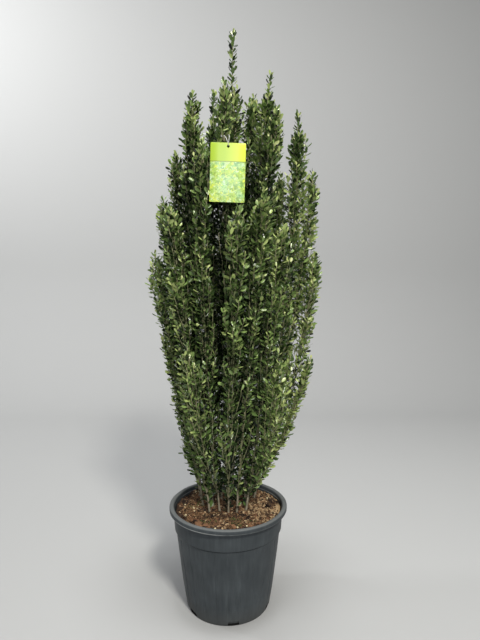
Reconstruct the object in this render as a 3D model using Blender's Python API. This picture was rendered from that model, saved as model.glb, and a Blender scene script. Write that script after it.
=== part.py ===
"""Potted Japanese holly: an upright evergreen shrub of many stems in a nursery pot, with a hanging label.

The origin is the centre of the pot's flat underside, +Z is up and the label hangs on the -Y side.
"""

import collections
import math
import random

import bmesh
import bpy
import numpy as np
from mathutils import Vector

MM = 0.001
CLEAR = 0.3 * MM  # gap that touching pieces keep

# Pot: a moulded, tapering container with a wider collar, a rolled rim and drain notches round its foot
POT_HEIGHT = 242 * MM
RIM_RADIUS = 140 * MM
BASE_RADIUS = 99 * MM
BODY_TOP_RADIUS = 124 * MM
COLLAR_RADIUS = 130 * MM
COLLAR_FOOT = 187 * MM
LIP_DEPTH = 11 * MM
LIP_ROUND = 2.5 * MM
POT_WALL = 2 * MM
POT_SIDES = 48  # two to each flute, so that every second edge is drawn in
FLUTE_DEPTH = 1.2 * MM
NOTCH_COUNT = 6
NOTCH_WIDTH = 27 * MM
NOTCH_HEIGHT = 12 * MM
NOTCH_DEPTH = 16 * MM
NOTCH_FIRST = math.radians(-83.5)

# Potting mix: fills the pot, flat where the stems come up and a little uneven towards the wall
MIX_TOP = 230 * MM
MIX_FLAT_RADIUS = 84 * MM
MIX_RELIEF = 3 * MM
MIX_SIDES = 16

# Stems and boughs
LIMB_SIDES = 5
LIMB_STEP = 75 * MM
FORK_RADIUS_SHARE = 0.62  # a bough's radius where it leaves its stem, as a share of the stem's
TIP_RADIUS = 1.3 * MM
FLARE = 0.5  # how much wider a stem's foot is, as a share
FLARE_HEIGHT = 9 * MM

# Foliage: a dense column round each shoot, whose leaves and leafy twigs stand out of a smaller core
CORE_SHARE = 0.6  # of the space's radius
CORE_SIDES = 6
CORE_FOOT = 0.02  # share of the path from the first leaf's height up to the core
SEATED_BARE = 0.08  # share of the path that a mass seated straight on a stem keeps bare
CORE_STEP = 105 * MM
CORE_FIRST_RING = 0.35  # how far up its step each ring of the core lies
CORE_DRAWN_IN = (1, 0.85, 0.7, 0.55, 0.4, 0.25, 0.1)  # shares of its width tried, until a point is free
FOOT_NARROWING = 110 * MM
LEAF_STEP = 50 * MM
TWIG_EVERY = 3  # every third leaf stands on a side twig, with a second one beside it
TWIG_RISE = math.radians(42)  # between a twig and its shoot
TWIG_RADIUS = 1.4 * MM
TWIG_REACH = 0.66  # of the space's radius
TWIG_LEAF = 0.8  # size of a twig's leaves, as a share
TWIG_LEAVES = ((5 * MM, -0.2), (9 * MM, 0.8))  # each leaf's distance back from the end, and its lean aside
GOLDEN_ANGLE = math.radians(137.5)
TURNS_TRIED = 8
LEAF_LENGTH = 50 * MM
LEAF_WIDTH = 23 * MM
LEAF_THICKNESS = 1.6 * MM
LEAF_WIDEST = 0.6  # along the leaf
LEAF_RIDGE = 0.4  # along the leaf
TIP_LEAF = 0.8  # size of the leaf at a shoot's tip, as a share
STEM_TO_TIP = 0.8  # how far short of the tip the shoot's stem ends, in lengths of the tip leaf
CORE_TO_TIP = 0.5  # the same for its core
LEAF_ROOT = 0.3  # of the space's radius, out from the shoot
LEAF_REACH = 1.15  # of the space's radius, out from the shoot
LEAF_STEEPEST = 0.75  # sine of the widest angle that a leaf makes with its shoot
FULL_LEAF_SPACE = 30 * MM  # radius of space in which a leaf has its full size
SPACE_MARGIN = 1.2 * MM
SPIRE_RADIUS = 12 * MM  # of the space where only the shoot itself stands
SPIRE_BLUNT = 4 * MM
SPIRE_TAPER = 20 * MM
SHOULDER_LENGTH = 60 * MM  # over which the space widens under its spire

# Label: a thin printed card on a loop of tie round the middle shoot
CARD_WIDTH = 74.6 * MM
CARD_HEIGHT = 123 * MM
CARD_THICKNESS = 0.6 * MM
CARD_CORNER = 2.5 * MM
CARD_PLACE = Vector((1.5 * MM, -88 * MM, 1053.5 * MM))  # centre of the card's hole
CARD_ROLL = math.radians(-1.7)
HOLE_RADIUS = 3 * MM
HOLE_DROP = 7.4 * MM  # from the card's top edge
TIE_RADIUS = 0.7 * MM
TIE_HALF_WIDTH = 6 * MM
TIE_POINTS = 20
TIE_SHARE = 0.86  # where it goes round the shoot, along the shoot's path

# A shoot runs from its foot (a place on the mix, or a fork on another shoot's bare part) to its tip.
# belly is how far its middle stands off the straight line, bare the share of it below its leaves, reach
# the radius of the leafy part's space, and spire the length at its tip where only the shoot itself stands,
# with no side twigs. Lengths are in millimetres.
Shoot = collections.namedtuple("Shoot", "name foot tip belly bare reach spire thick")
SHOOTS = (
    Shoot("leader", (4, 6), (13, 0, 1332), (-3, 4, 0), 0.30, 36, 112, 3.8),
    Shoot("left_tall", (-36, -4), (-78, -14, 1192), (-16, 4, 0), 0.17, 31, 6, 3.4),
    Shoot("left_inner", (-16, 40), (-33, 70, 1227), (-10, 6, 0), 0.24, 28, 70, 3.1),
    Shoot("left_back", (-52, 22), (-121, 32, 1073), (-8, 12, 0), 0.16, 32, 5, 3.3),
    Shoot("left_mid", (-60, 6), (-144, -26, 958), (-4, -4, 0), 0.12, 28, 8, 3.0),
    Shoot("left_outer", (-66, 40), (-171, 12, 840), (-4, 4, 0), 0.12, 31, 5, 3.1),
    Shoot("left_front", (-44, -22), (-123, -66, 932), (-4, -4, 0), 0.09, 30, 8, 3.0),
    Shoot("right_tall", (24, 18), (101, 30, 1255), (-8, 8, 0), 0.24, 28, 40, 3.6),
    Shoot("right_inner", (12, 46), (64, 84, 1223), (-8, 4, 0), 0.24, 28, 4, 3.3),
    Shoot("right_shoulder", (40, 2), (109, -22, 1160), (-6, -6, 0), 0.16, 28, 4, 3.4),
    Shoot("far_right", (48, 28), (161, 5, 1156), (30, -4, 0), 0.17, 32, 32, 3.4),
    Shoot("right_outer", (64, 44), (201, 24, 1030), (19, 6, 0), 0.18, 29, 10, 3.4),
    Shoot("front_left", (-20, -26), (-52, -84, 1070), (-14, -14, 0), 0.08, 30, 8, 3.0),
    Shoot("front_centre", (0, -34), (25, -130, 926), (-4, -12, 0), 0.07, 34, 6, 2.8),
    Shoot("front_right", (20, -28), (76, -112, 962), (-4, -8, 0), 0.08, 30, 10, 3.0),
    Shoot("right_front", (42, -20), (120, -98, 892), (4, -4, 0), 0.09, 32, 6, 3.0),
    Shoot("back_left", (-38, 56), (-92, 112, 1080), (-6, 10, 0), 0.13, 35, 20, 3.3),
    Shoot("back_centre", (-2, 66), (12, 138, 1110), (-2, 12, 0), 0.13, 35, 35, 3.3),
    Shoot("back_right", (34, 60), (133, 98, 1040), (8, 6, 0), 0.13, 31, 8, 3.3),
)
# A bough forks off the named shoot at the given share of its length.
Bough = collections.namedtuple("Bough", "name parent fork tip belly bare reach spire")
BOUGHS = (
    Bough("inner_front", "leader", 0.20, (-8, -46, 1206), (-2, -16, -30), 0.30, 26, 8),
    Bough("right_low", "right_outer", 0.10, (207, 10, 842), (16, -2, -20), 0.20, 28, 6),
    Bough("right_foot", "right_outer", 0.05, (192, -30, 603), (4, -24, -10), 0.18, 16, 5),
    Bough("back_low_left", "back_left", 0.07, (-136, 104, 884), (-10, 6, -10), 0.16, 35, 8),
    Bough("back_low_centre", "back_centre", 0.08, (-22, 184, 862), (0, 14, -10), 0.16, 36, 14),
    Bough("back_low_right", "back_right", 0.07, (92, 156, 930), (4, 12, -10), 0.16, 35, 6),
    Bough("low_front_left", "front_left", 0.05, (-88, -104, 640), (-4, -6, -20), 0.0, 32, 10),
    Bough("low_front_right", "right_front", 0.06, (112, -92, 600), (8, -8, -20), 0.0, 31, 8),
    Bough("low_left", "left_outer", 0.05, (-136, 64, 630), (-4, 4, -20), 0.0, 31, 6),
    Bough("low_right", "far_right", 0.05, (150, 8, 600), (6, 2, -20), 0.0, 28, 8),
    Bough("low_back", "back_centre", 0.05, (28, 158, 640), (4, 12, -20), 0.0, 34, 10),
)


def clear_scene():
    for obj in list(bpy.data.objects):
        bpy.data.objects.remove(obj, do_unlink=True)


def material(name, colour, roughness):
    """A Principled BSDF of one linear colour."""
    made = bpy.data.materials.new(name)
    made.use_nodes = True
    shader = made.node_tree.nodes["Principled BSDF"]
    shader.inputs["Base Color"].default_value = (*colour, 1)
    shader.inputs["Roughness"].default_value = roughness
    return made


def add_object(name, points, faces, finish=None, smooth=False, collection=None):
    """A mesh object whose faces are turned outward."""
    mesh = bpy.data.meshes.new(name)
    mesh.from_pydata([tuple(point) for point in points], [], faces)
    work = bmesh.new()
    work.from_mesh(mesh)
    bmesh.ops.recalc_face_normals(work, faces=work.faces)
    work.to_mesh(mesh)
    work.free()
    if smooth:
        mesh.shade_smooth()
        mesh.set_sharp_from_angle(angle=math.radians(40))
    if finish:
        mesh.materials.append(finish)
    obj = bpy.data.objects.new(name, mesh)
    (collection or bpy.context.scene.collection).objects.link(obj)
    return obj


def apply_boolean(obj, operation, cutters):
    """Joins or cuts obj with a collection's objects, applies it, and removes them and the collection."""
    boolean = obj.modifiers.new(operation.title(), "BOOLEAN")
    boolean.operation = operation
    boolean.operand_type = "COLLECTION"
    boolean.collection = cutters
    boolean.solver = "EXACT"
    bpy.context.view_layer.update()
    joined = bpy.data.meshes.new_from_object(obj.evaluated_get(bpy.context.evaluated_depsgraph_get()))
    obj.modifiers.remove(boolean)
    obj.data = joined
    for cutter in list(cutters.objects):
        bpy.data.objects.remove(cutter, do_unlink=True)
    bpy.data.collections.remove(cutters)


def helper_collection(name):
    """A collection for cutters and for shapes about to be joined."""
    made = bpy.data.collections.new(name)
    bpy.context.scene.collection.children.link(made)
    return made


def keep_largest_shell(obj):
    """Drops loose scraps, and the inner skin of any hollow that a union sealed."""
    work = bmesh.new()
    work.from_mesh(obj.data)
    left = set(work.faces)
    shells = []
    while left:
        shell = {left.pop()}
        front = list(shell)
        while front:
            for edge in front.pop().edges:
                for face in edge.link_faces:
                    if face in left:
                        left.remove(face)
                        shell.add(face)
                        front.append(face)
        shells.append(shell)
    shells.sort(key=len)
    scraps = [face for shell in shells[:-1] for face in shell]
    bmesh.ops.delete(work, geom=scraps, context="FACES")
    work.to_mesh(obj.data)
    work.free()


# ---- paths ----


class Path:
    """A shoot's centre line: P(t) = (1 - t) foot + t tip + 4 t (1 - t) belly."""

    def __init__(self, foot, tip, belly, thick):
        self.foot = Vector(foot)
        self.tip = Vector(tip)
        self.belly = Vector(belly)
        self.thick = thick
        self.length = (self.tip - self.foot).length

    def at(self, t):
        return self.foot.lerp(self.tip, t) + 4 * t * (1 - t) * self.belly

    def along(self, t):
        return (self.tip - self.foot + 4 * (1 - 2 * t) * self.belly).normalized()

    def radius(self, t):
        return TIP_RADIUS + (self.thick - TIP_RADIUS) * (1 - t) ** 0.9

    def flared(self, t):
        """The radius with the root flare that dies away above the mix."""
        return self.radius(t) * (1 + FLARE * math.exp(-t * self.length / FLARE_HEIGHT))

    def share_before_tip(self, distance):
        """The share of the path that leaves this distance to its tip."""
        return 1 - distance / (self.tip - self.foot - 4 * self.belly).length


def tube(centres, axes, radii, sides):
    """Rings of points square to each axis, and the faces between them with both ends closed."""
    side = axes[0].orthogonal().normalized()
    points = []
    for centre, axis, radius in zip(centres, axes, radii):
        side = (side - side.dot(axis) * axis).normalized()
        across = axis.cross(side)
        for k in range(sides):
            turn = math.tau * k / sides
            points.append(centre + radius * (math.cos(turn) * side + math.sin(turn) * across))
    faces = [tuple(range(sides)), tuple(range(len(points) - sides, len(points)))]
    for ring in range(len(centres) - 1):
        for k in range(sides):
            a = ring * sides + k
            b = ring * sides + (k + 1) % sides
            faces.append((a, b, b + sides, a + sides))
    return points, faces


def limb_shape(path, t_from, t_to, grow=0.0, flat_foot=False):
    """The tube of a stem or bough between two shares of its path."""
    steps = max(2, math.ceil((t_to - t_from) * path.length / LIMB_STEP))
    shares = [t_from + (t_to - t_from) * k / steps for k in range(steps + 1)]
    if flat_foot:
        shares.insert(1, FLARE_HEIGHT / path.length)
    axes = [path.along(t) for t in shares]
    if flat_foot:
        axes[0] = Vector((0, 0, 1))
    radii = [(path.flared(t) if flat_foot else path.radius(t)) + grow for t in shares]
    return tube([path.at(t) for t in shares], axes, radii, LIMB_SIDES)


def build_paths():
    """Every shoot's path by name, in metres, and the share of it that is bare."""
    paths = {}
    bare = {}
    for shoot in SHOOTS:
        foot = Vector((shoot.foot[0] * MM, shoot.foot[1] * MM, MIX_TOP + CLEAR))
        paths[shoot.name] = Path(foot, Vector(shoot.tip) * MM, Vector(shoot.belly) * MM, shoot.thick * MM)
        bare[shoot.name] = shoot.bare
    for bough in BOUGHS:
        parent = paths[bough.parent]
        thick = parent.radius(bough.fork) * FORK_RADIUS_SHARE
        foot = parent.at(bough.fork)
        paths[bough.name] = Path(foot, Vector(bough.tip) * MM, Vector(bough.belly) * MM, thick)
        bare[bough.name] = bough.bare
    return paths, bare


# ---- spaces ----


class Spaces:
    """Which points belong to which shoot: the one whose leafy line is nearest, less its own reach."""

    SAMPLES = 16

    def __init__(self, paths, bare, reaches):
        self.names = list(paths)
        self.reaches = reaches
        self.lines = {name: self.samples(paths[name], bare[name], 1.0) for name in paths}
        limbed = [name for name in paths if bare[name]]
        self.limbs = [(self.samples(paths[name], 0.0, bare[name]), paths[name].thick) for name in limbed]

    def samples(self, path, t_from, t_to):
        shares = np.linspace(t_from, t_to, self.SAMPLES)
        return np.array([path.at(float(t)) for t in shares])

    @staticmethod
    def distance(points, line):
        """From each point to the nearest of the line's segments."""
        start = line[:-1][None]
        step = (line[1:] - line[:-1])[None]
        offset = points[:, None] - start
        share = np.clip((offset * step).sum(2) / (step * step).sum(2), 0, 1)
        return np.linalg.norm(offset - share[..., None] * step, axis=2).min(1)

    def own(self, points, name):
        """True where every point is in the shoot's own space and clear of all bare limbs."""
        points = np.asarray(points)
        mine = self.distance(points, self.lines[name]) - self.reaches[name]
        for other in self.names:
            if other == name:
                continue
            theirs = self.distance(points, self.lines[other]) - self.reaches[other]
            if (mine > theirs - 2 * SPACE_MARGIN).any():
                return False
        for line, thick in self.limbs:
            if (self.distance(points, line) < thick + 2 * SPACE_MARGIN).any():
                return False
        return True


def card_frame():
    """The card's own axes: across, out of its face, and up, rolled a little about the way it faces."""
    across = Vector((math.cos(CARD_ROLL), 0, math.sin(CARD_ROLL)))
    out = Vector((0, -1, 0))
    return across, out, across.cross(out) * -1


def clear_of_label(points, tie_line):
    """True where the points keep off the card's slab and the tie."""
    across, out, up = card_frame()
    margin = 3 * SPACE_MARGIN
    for point in points:
        local = Vector(point) - CARD_PLACE
        inside_width = abs(local.dot(across)) < CARD_WIDTH / 2 + margin
        inside_height = -CARD_HEIGHT < local.dot(up) < HOLE_DROP + margin
        if inside_width and inside_height and local.dot(out) > -2 * margin:
            return False
    return bool((Spaces.distance(np.asarray(points), tie_line) > TIE_HALF_WIDTH + margin).all())


# ---- foliage ----


def leaf_shape(root, direction, face, scale):
    """A leaf of eight faces: root, tip, two edges, and a ridge over and under its middle."""
    across = direction.cross(face)
    middle = root + direction * LEAF_LENGTH * scale * LEAF_WIDEST
    half = LEAF_WIDTH * scale / 2
    points = [
        root,
        middle + across * half,
        root + direction * LEAF_LENGTH * scale,
        middle - across * half,
        root + direction * LEAF_LENGTH * scale * LEAF_RIDGE + face * LEAF_THICKNESS / 2,
        root + direction * LEAF_LENGTH * scale * LEAF_RIDGE - face * LEAF_THICKNESS / 2,
    ]
    faces = [(k, (k + 1) % 4, apex) for k in range(4) for apex in (4, 5)]
    return points, faces


def along_leaf(points):
    """The leaf's corners with points between them, for testing where it reaches."""
    corners = [np.array(point) for point in points[:4]]
    between = [(corners[k] + corners[(k + 1) % 4]) / 2 for k in range(4)]
    return corners[1:] + between


def space_radius(path, t, bare, reach, spire):
    """The space's radius at a share of the path: half its reach at its foot, narrow along its spire."""
    above = (t - bare) * path.length
    below = (1 - t) * path.length
    from_foot = reach * min(1.0, 0.5 + 0.5 * above / FOOT_NARROWING)
    slim = SPIRE_RADIUS * min(1.0, (below + SPIRE_BLUNT) / SPIRE_TAPER) ** 0.5
    shoulder = max(0.0, min(1.0, (below - spire) / SHOULDER_LENGTH)) ** 0.7
    return slim + max(0.0, from_foot - slim) * shoulder


def leaning(path, t, turn, angle):
    """A direction at angle to the shoot, turned round it, and the face a leaf that way turns up."""
    axis = path.along(t)
    side = axis.orthogonal().normalized()
    radial = math.cos(turn) * side + math.sin(turn) * axis.cross(side)
    direction = math.cos(angle) * axis + math.sin(angle) * radial
    return direction, math.sin(angle) * axis - math.cos(angle) * radial


def core_shape(path, t_from, t_to, radius_at, free):
    """A spindle round the shoot; each of its points is drawn in until it is in the mass's own space."""
    count = max(3, round((t_to - t_from) * path.length / CORE_STEP))
    points = [path.at(t_from)]
    for ring in range(count):
        t = t_from + (t_to - t_from) * (ring + CORE_FIRST_RING) / count
        for k in range(CORE_SIDES):
            turn = math.tau * (k + 0.5 * (ring % 2)) / CORE_SIDES
            radial, _ = leaning(path, t, turn, math.pi / 2)
            for shrink in CORE_DRAWN_IN:
                point = path.at(t) + radial * radius_at(t) * CORE_SHARE * shrink
                if free([point]):
                    break
            points.append(point)
    points.append(path.at(t_to))
    last = len(points) - 1
    faces = []
    for k in range(CORE_SIDES):
        after = (k + 1) % CORE_SIDES
        faces.append((0, 1 + k, 1 + after))
        faces.append((last, last - CORE_SIDES + k, last - CORE_SIDES + after))
        for ring in range(count - 1):
            low = 1 + ring * CORE_SIDES
            high = low + CORE_SIDES
            shift = ring % 2  # odd rings are turned half a side, so the faces between lean in turn
            faces.append((low + k, low + after, high + (after if shift else k)))
            faces.append((high + k, high + after, low + (k if shift else after)))
    return points, faces


def mass_shapes(shoot, path, spaces, tie_line):
    """The stem, core, twigs and leaves of one foliage mass, each a closed shape of its own."""
    chance = random.Random(shoot.name)

    def free(points):
        return spaces.own(points, shoot.name) and clear_of_label(points, tie_line)

    def radius_at(t):
        return space_radius(path, t, shoot.bare, shoot.reach * MM, shoot.spire * MM)

    tip_leaf = TIP_LEAF * LEAF_LENGTH
    leafy_end = path.share_before_tip(STEM_TO_TIP * tip_leaf)
    start = shoot.bare + CLEAR / path.length if shoot.bare else 0.0
    core_start = max(shoot.bare, SEATED_BARE) + CORE_FOOT
    core_end = path.share_before_tip(CORE_TO_TIP * tip_leaf)
    steps = [core_start + (core_end - core_start) * k / 60 for k in range(61)]
    tied = [t for t in steps if not clear_of_label([path.at(t)], tie_line)]
    core_end = min([core_end] + tied)
    shapes = [limb_shape(path, start, leafy_end)]
    shapes.append(core_shape(path, core_start, core_end, radius_at, free))
    tip_axis = path.along(1.0)
    tip_face = tip_axis.orthogonal().normalized()
    shapes.append(leaf_shape(path.tip - tip_axis * tip_leaf, tip_axis, tip_face, TIP_LEAF))
    count = max(6, round((leafy_end - core_start) * path.length / LEAF_STEP))
    turn = chance.uniform(0, math.tau)
    for k in range(count):
        u = (k + 0.5) / count
        t = core_start + (leafy_end - core_start) * u
        grow = twig_with_leaves if k % TWIG_EVERY == 1 else single_leaf
        shapes.extend(grow(path, t, turn, radius_at(t), free))
        turn += GOLDEN_ANGLE * chance.uniform(0.94, 1.06)
    return shapes


def leaf_scale(width):
    """Leaves are smaller where the space is narrow."""
    return min(1.0, 0.5 + 0.5 * width / FULL_LEAF_SPACE)


def single_leaf(path, t, turn, width, free):
    """A leaf out of the core, as steep as its length and the space's radius ask, on the first free side."""
    scale = leaf_scale(width)
    rise = math.asin(min(LEAF_STEEPEST, (LEAF_REACH - LEAF_ROOT) * width / (LEAF_LENGTH * scale)))
    for tried in range(TURNS_TRIED):
        direction, face = leaning(path, t, turn + tried * math.tau / TURNS_TRIED, rise)
        radial = (direction - direction.dot(path.along(t)) * path.along(t)).normalized()
        leaf = leaf_shape(path.at(t) + radial * LEAF_ROOT * width, direction, face, scale)
        if free(along_leaf(leaf[0])):
            return [leaf]
    return []


def twig_with_leaves(path, t, turn, width, free):
    """A side twig with a leaf at its end and one beside it, turned to the first free side."""
    length = TWIG_REACH * width / math.sin(TWIG_RISE)
    scale = TWIG_LEAF * leaf_scale(width)
    for tried in range(TURNS_TRIED):
        direction, face = leaning(path, t, turn + tried * math.tau / TURNS_TRIED, TWIG_RISE)
        foot = path.at(t)
        end = foot + direction * length
        if not free([foot.lerp(end, share) for share in (0.4, 0.7, 1.0)]):
            continue
        across = direction.cross(face)
        leaves = []
        for back, lean in TWIG_LEAVES:
            root = end - direction * back
            way = (direction + lean * across + 0.6 * path.along(t)).normalized()
            up = (face - face.dot(way) * way).normalized()
            leaf = leaf_shape(root - way * TWIG_RADIUS, way, up, scale)
            if free(along_leaf(leaf[0])):
                leaves.append(leaf)
        if leaves:
            twig = tube([foot, end], [direction, direction], [TWIG_RADIUS * 1.3, TWIG_RADIUS], 3)
            return [twig] + leaves
    return []


def foliage(shoot, path, spaces, tie_line, finish, seat=None):
    """One mass: a union of all its shapes, cut clear of the limb that it is seated on."""
    shapes = mass_shapes(shoot, path, spaces, tie_line)
    mass = add_object("foliage_" + shoot.name, *shapes[0], finish)
    joined = helper_collection("joined_" + shoot.name)
    for number, shape in enumerate(shapes[1:]):
        add_object(f"{shoot.name}_piece_{number}", *shape, collection=joined)
    apply_boolean(mass, "UNION", joined)
    if seat:
        cut_seat(mass, seat)
    keep_largest_shell(mass)
    return mass


# ---- limbs ----


def cut_seat(obj, parent):
    """Trims a bough or a mass's stem to the side of the limb it grows from, the usual gap clear."""
    cutters = helper_collection("seat_" + obj.name)
    cutter = add_object(obj.name + "_seat", *parent, collection=cutters)
    cutter.hide_render = True
    cutter.display_type = "WIRE"
    apply_boolean(obj, "DIFFERENCE", cutters)


def limb(name, shape, finish, seat=None):
    made = add_object(name, *shape, finish, smooth=True)
    if seat:
        cut_seat(made, seat)
        keep_largest_shell(made)
    return made


# ---- pot and mix ----


def turned(profile, sides, inset=lambda k, r, z: r):
    """A closed solid turned from (radius, height) points, listed from the axis out and back to it."""
    points = []
    rings = []
    for radius, height in profile:
        if radius == 0:
            rings.append([len(points)])
            points.append((0, 0, height))
            continue
        rings.append(list(range(len(points), len(points) + sides)))
        for k in range(sides):
            turn = math.tau * k / sides
            r = inset(k, radius, height)
            points.append((r * math.cos(turn), r * math.sin(turn), height))
    faces = []
    for low, high in zip(rings, rings[1:]):
        for k in range(sides):
            after = k + 1
            corners = [low[k % len(low)], low[after % len(low)], high[after % len(high)], high[k % len(high)]]
            faces.append(tuple(dict.fromkeys(corners)))
    return points, faces


def body_radius(z):
    """The pot's outer radius below its collar: a taper that swells very slightly."""
    share = z / COLLAR_FOOT
    return BASE_RADIUS + (BODY_TOP_RADIUS - BASE_RADIUS) * share**0.82


def pot(finish):
    step = 3 * MM
    lip_foot = POT_HEIGHT - LIP_DEPTH
    outer = [(body_radius(z), z) for z in (0, 60 * MM, 125 * MM, COLLAR_FOOT - step)]
    outer += [
        (COLLAR_RADIUS - step, COLLAR_FOOT),
        (COLLAR_RADIUS, lip_foot),
        (RIM_RADIUS - POT_WALL, lip_foot),
        (RIM_RADIUS, lip_foot + LIP_ROUND),
        (RIM_RADIUS, POT_HEIGHT - LIP_ROUND),
        (RIM_RADIUS - LIP_ROUND, POT_HEIGHT),
        (COLLAR_RADIUS, POT_HEIGHT),
        (COLLAR_RADIUS - POT_WALL, POT_HEIGHT - POT_WALL),
    ]
    inner = [(COLLAR_RADIUS - step - POT_WALL, COLLAR_FOOT)]
    inner += [(body_radius(z) - POT_WALL, z) for z in (COLLAR_FOOT - step, 125 * MM, 60 * MM, POT_WALL)]

    def flute(k, radius, z):
        drawn_in = k % 2 and z < COLLAR_FOOT - step / 2 and radius > BASE_RADIUS - step
        return radius - FLUTE_DEPTH * drawn_in

    profile = [(0, 0), *outer, *inner, (0, POT_WALL)]
    made = add_object("pot", *turned(profile, POT_SIDES, flute), finish, smooth=True)
    cutters = helper_collection("drain_notches")
    for k in range(NOTCH_COUNT):
        notch = drain_notch(NOTCH_FIRST + math.tau * k / NOTCH_COUNT)
        cutter = add_object(f"notch_{k}", *notch, collection=cutters)
        cutter.hide_render = True
        cutter.display_type = "WIRE"
    apply_boolean(made, "DIFFERENCE", cutters)
    return made


def drain_notch(turn):
    """A block with a trapezoid front, wider at the foot, that cuts the wall and the edge of the base."""
    out = Vector((math.cos(turn), math.sin(turn), 0))
    across = Vector((-out.y, out.x, 0))
    foot = NOTCH_WIDTH * 0.58
    head = NOTCH_WIDTH * 0.4
    low = -NOTCH_HEIGHT / 2
    front = ((foot, low), (-foot, low), (-head, NOTCH_HEIGHT), (head, NOTCH_HEIGHT))
    points = []
    for reach in (BASE_RADIUS - NOTCH_DEPTH, BASE_RADIUS + NOTCH_DEPTH):
        points += [out * reach + across * side + Vector((0, 0, z)) for side, z in front]
    faces = [(0, 1, 2, 3), (4, 5, 6, 7)] + [(k, (k + 1) % 4, 4 + (k + 1) % 4, 4 + k) for k in range(4)]
    return points, faces


def potting_mix(finish):
    """The root ball and its dressing, the usual gap inside the wall all the way up."""
    inside = POT_WALL + FLUTE_DEPTH + CLEAR
    heights = (POT_WALL + CLEAR, 60 * MM, 125 * MM, COLLAR_FOOT - 3 * MM)
    walls = [(body_radius(z) - inside, z) for z in heights]
    walls.append((COLLAR_RADIUS - 3 * MM - inside, COLLAR_FOOT + 2 * MM))
    edge = COLLAR_RADIUS - 3 * MM - inside
    profile = [(0, walls[0][1]), *walls, (edge, MIX_TOP), ((edge + MIX_FLAT_RADIUS) / 2, MIX_TOP)]
    profile += [(MIX_FLAT_RADIUS, MIX_TOP), (0, MIX_TOP)]
    points, faces = turned(profile, MIX_SIDES)
    uneven = []
    for x, y, z in points:
        away = math.hypot(x, y)
        rough = z == MIX_TOP and away > MIX_FLAT_RADIUS + MM
        turn = math.atan2(y, x)
        lift = MIX_RELIEF * (math.sin(5 * turn + 1) + math.sin(3 * turn + 40 * away)) / 2 if rough else 0
        uneven.append((x, y, z + lift))
    return add_object("potting_mix", uneven, faces, finish, smooth=True)


# ---- label ----


def card(finish):
    """A flat card with round corners and a hole near its top edge."""
    across, out, up = card_frame()
    outline = []
    for quarter, (sx, sz) in enumerate(((1, 1), (-1, 1), (-1, -1), (1, -1))):
        centre_x = sx * (CARD_WIDTH / 2 - CARD_CORNER)
        centre_z = HOLE_DROP - CARD_HEIGHT / 2 + sz * (CARD_HEIGHT / 2 - CARD_CORNER)
        for k in range(4):
            turn = math.pi / 2 * (quarter + k / 3)
            outline.append((centre_x + CARD_CORNER * math.cos(turn), centre_z + CARD_CORNER * math.sin(turn)))
    points = []
    for side in (-1, 1):
        points += [CARD_PLACE + across * x + up * z + out * side * CARD_THICKNESS / 2 for x, z in outline]
    n = len(outline)
    faces = [tuple(range(n)), tuple(range(n, 2 * n))]
    faces += [(k, (k + 1) % n, n + (k + 1) % n, n + k) for k in range(n)]
    made = add_object("label", points, faces, finish)
    cutters = helper_collection("label_hole")
    ends = [CARD_PLACE - out * 5 * CARD_THICKNESS, CARD_PLACE + out * 5 * CARD_THICKNESS]
    cutter = add_object("hole", *tube(ends, [out, out], [HOLE_RADIUS, HOLE_RADIUS], 12), collection=cutters)
    cutter.hide_render = True
    cutter.display_type = "WIRE"
    apply_boolean(made, "DIFFERENCE", cutters)
    return made


class TieLine:
    """The middle line of the tie's loop: straight up from the card's hole, bending back round the shoot."""

    def __init__(self, path):
        shoot = path.at(TIE_SHARE)
        self.low = CARD_PLACE + Vector((0, 0, HOLE_RADIUS / 2))
        self.bend = Vector((self.low.x, self.low.y, shoot.z))
        back = (shoot - self.bend).normalized()
        self.high = shoot + back * (path.radius(TIE_SHARE) + TIE_RADIUS + 2 * CLEAR)

    def at(self, share):
        return self.low.lerp(self.bend, share).lerp(self.bend.lerp(self.high, share), share)


def tie(line, finish):
    """A closed loop to both sides of the line, w sqrt(sin a) from it, turned a quarter on the way."""
    front = Vector((0, -1, 0))
    level = Vector((1, 0, 0))
    places = []
    for k in range(TIE_POINTS):
        a = math.tau * k / TIE_POINTS
        share = (1 - math.cos(a)) / 2
        side = math.cos(share * math.pi / 2) * front + math.sin(share * math.pi / 2) * level
        width = math.copysign(math.sqrt(abs(math.sin(a))), math.sin(a)) * TIE_HALF_WIDTH
        places.append(line.at(share) + side * width)
    curve = bpy.data.curves.new("label_tie", "CURVE")
    curve.dimensions = "3D"
    curve.bevel_depth = TIE_RADIUS
    curve.bevel_resolution = 1
    spline = curve.splines.new("POLY")
    spline.points.add(len(places) - 1)
    for point, place in zip(spline.points, places):
        point.co = (*place, 1)
    spline.use_cyclic_u = True
    curve.materials.append(finish)
    made = bpy.data.objects.new("label_tie", curve)
    bpy.context.scene.collection.objects.link(made)
    return made


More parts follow.
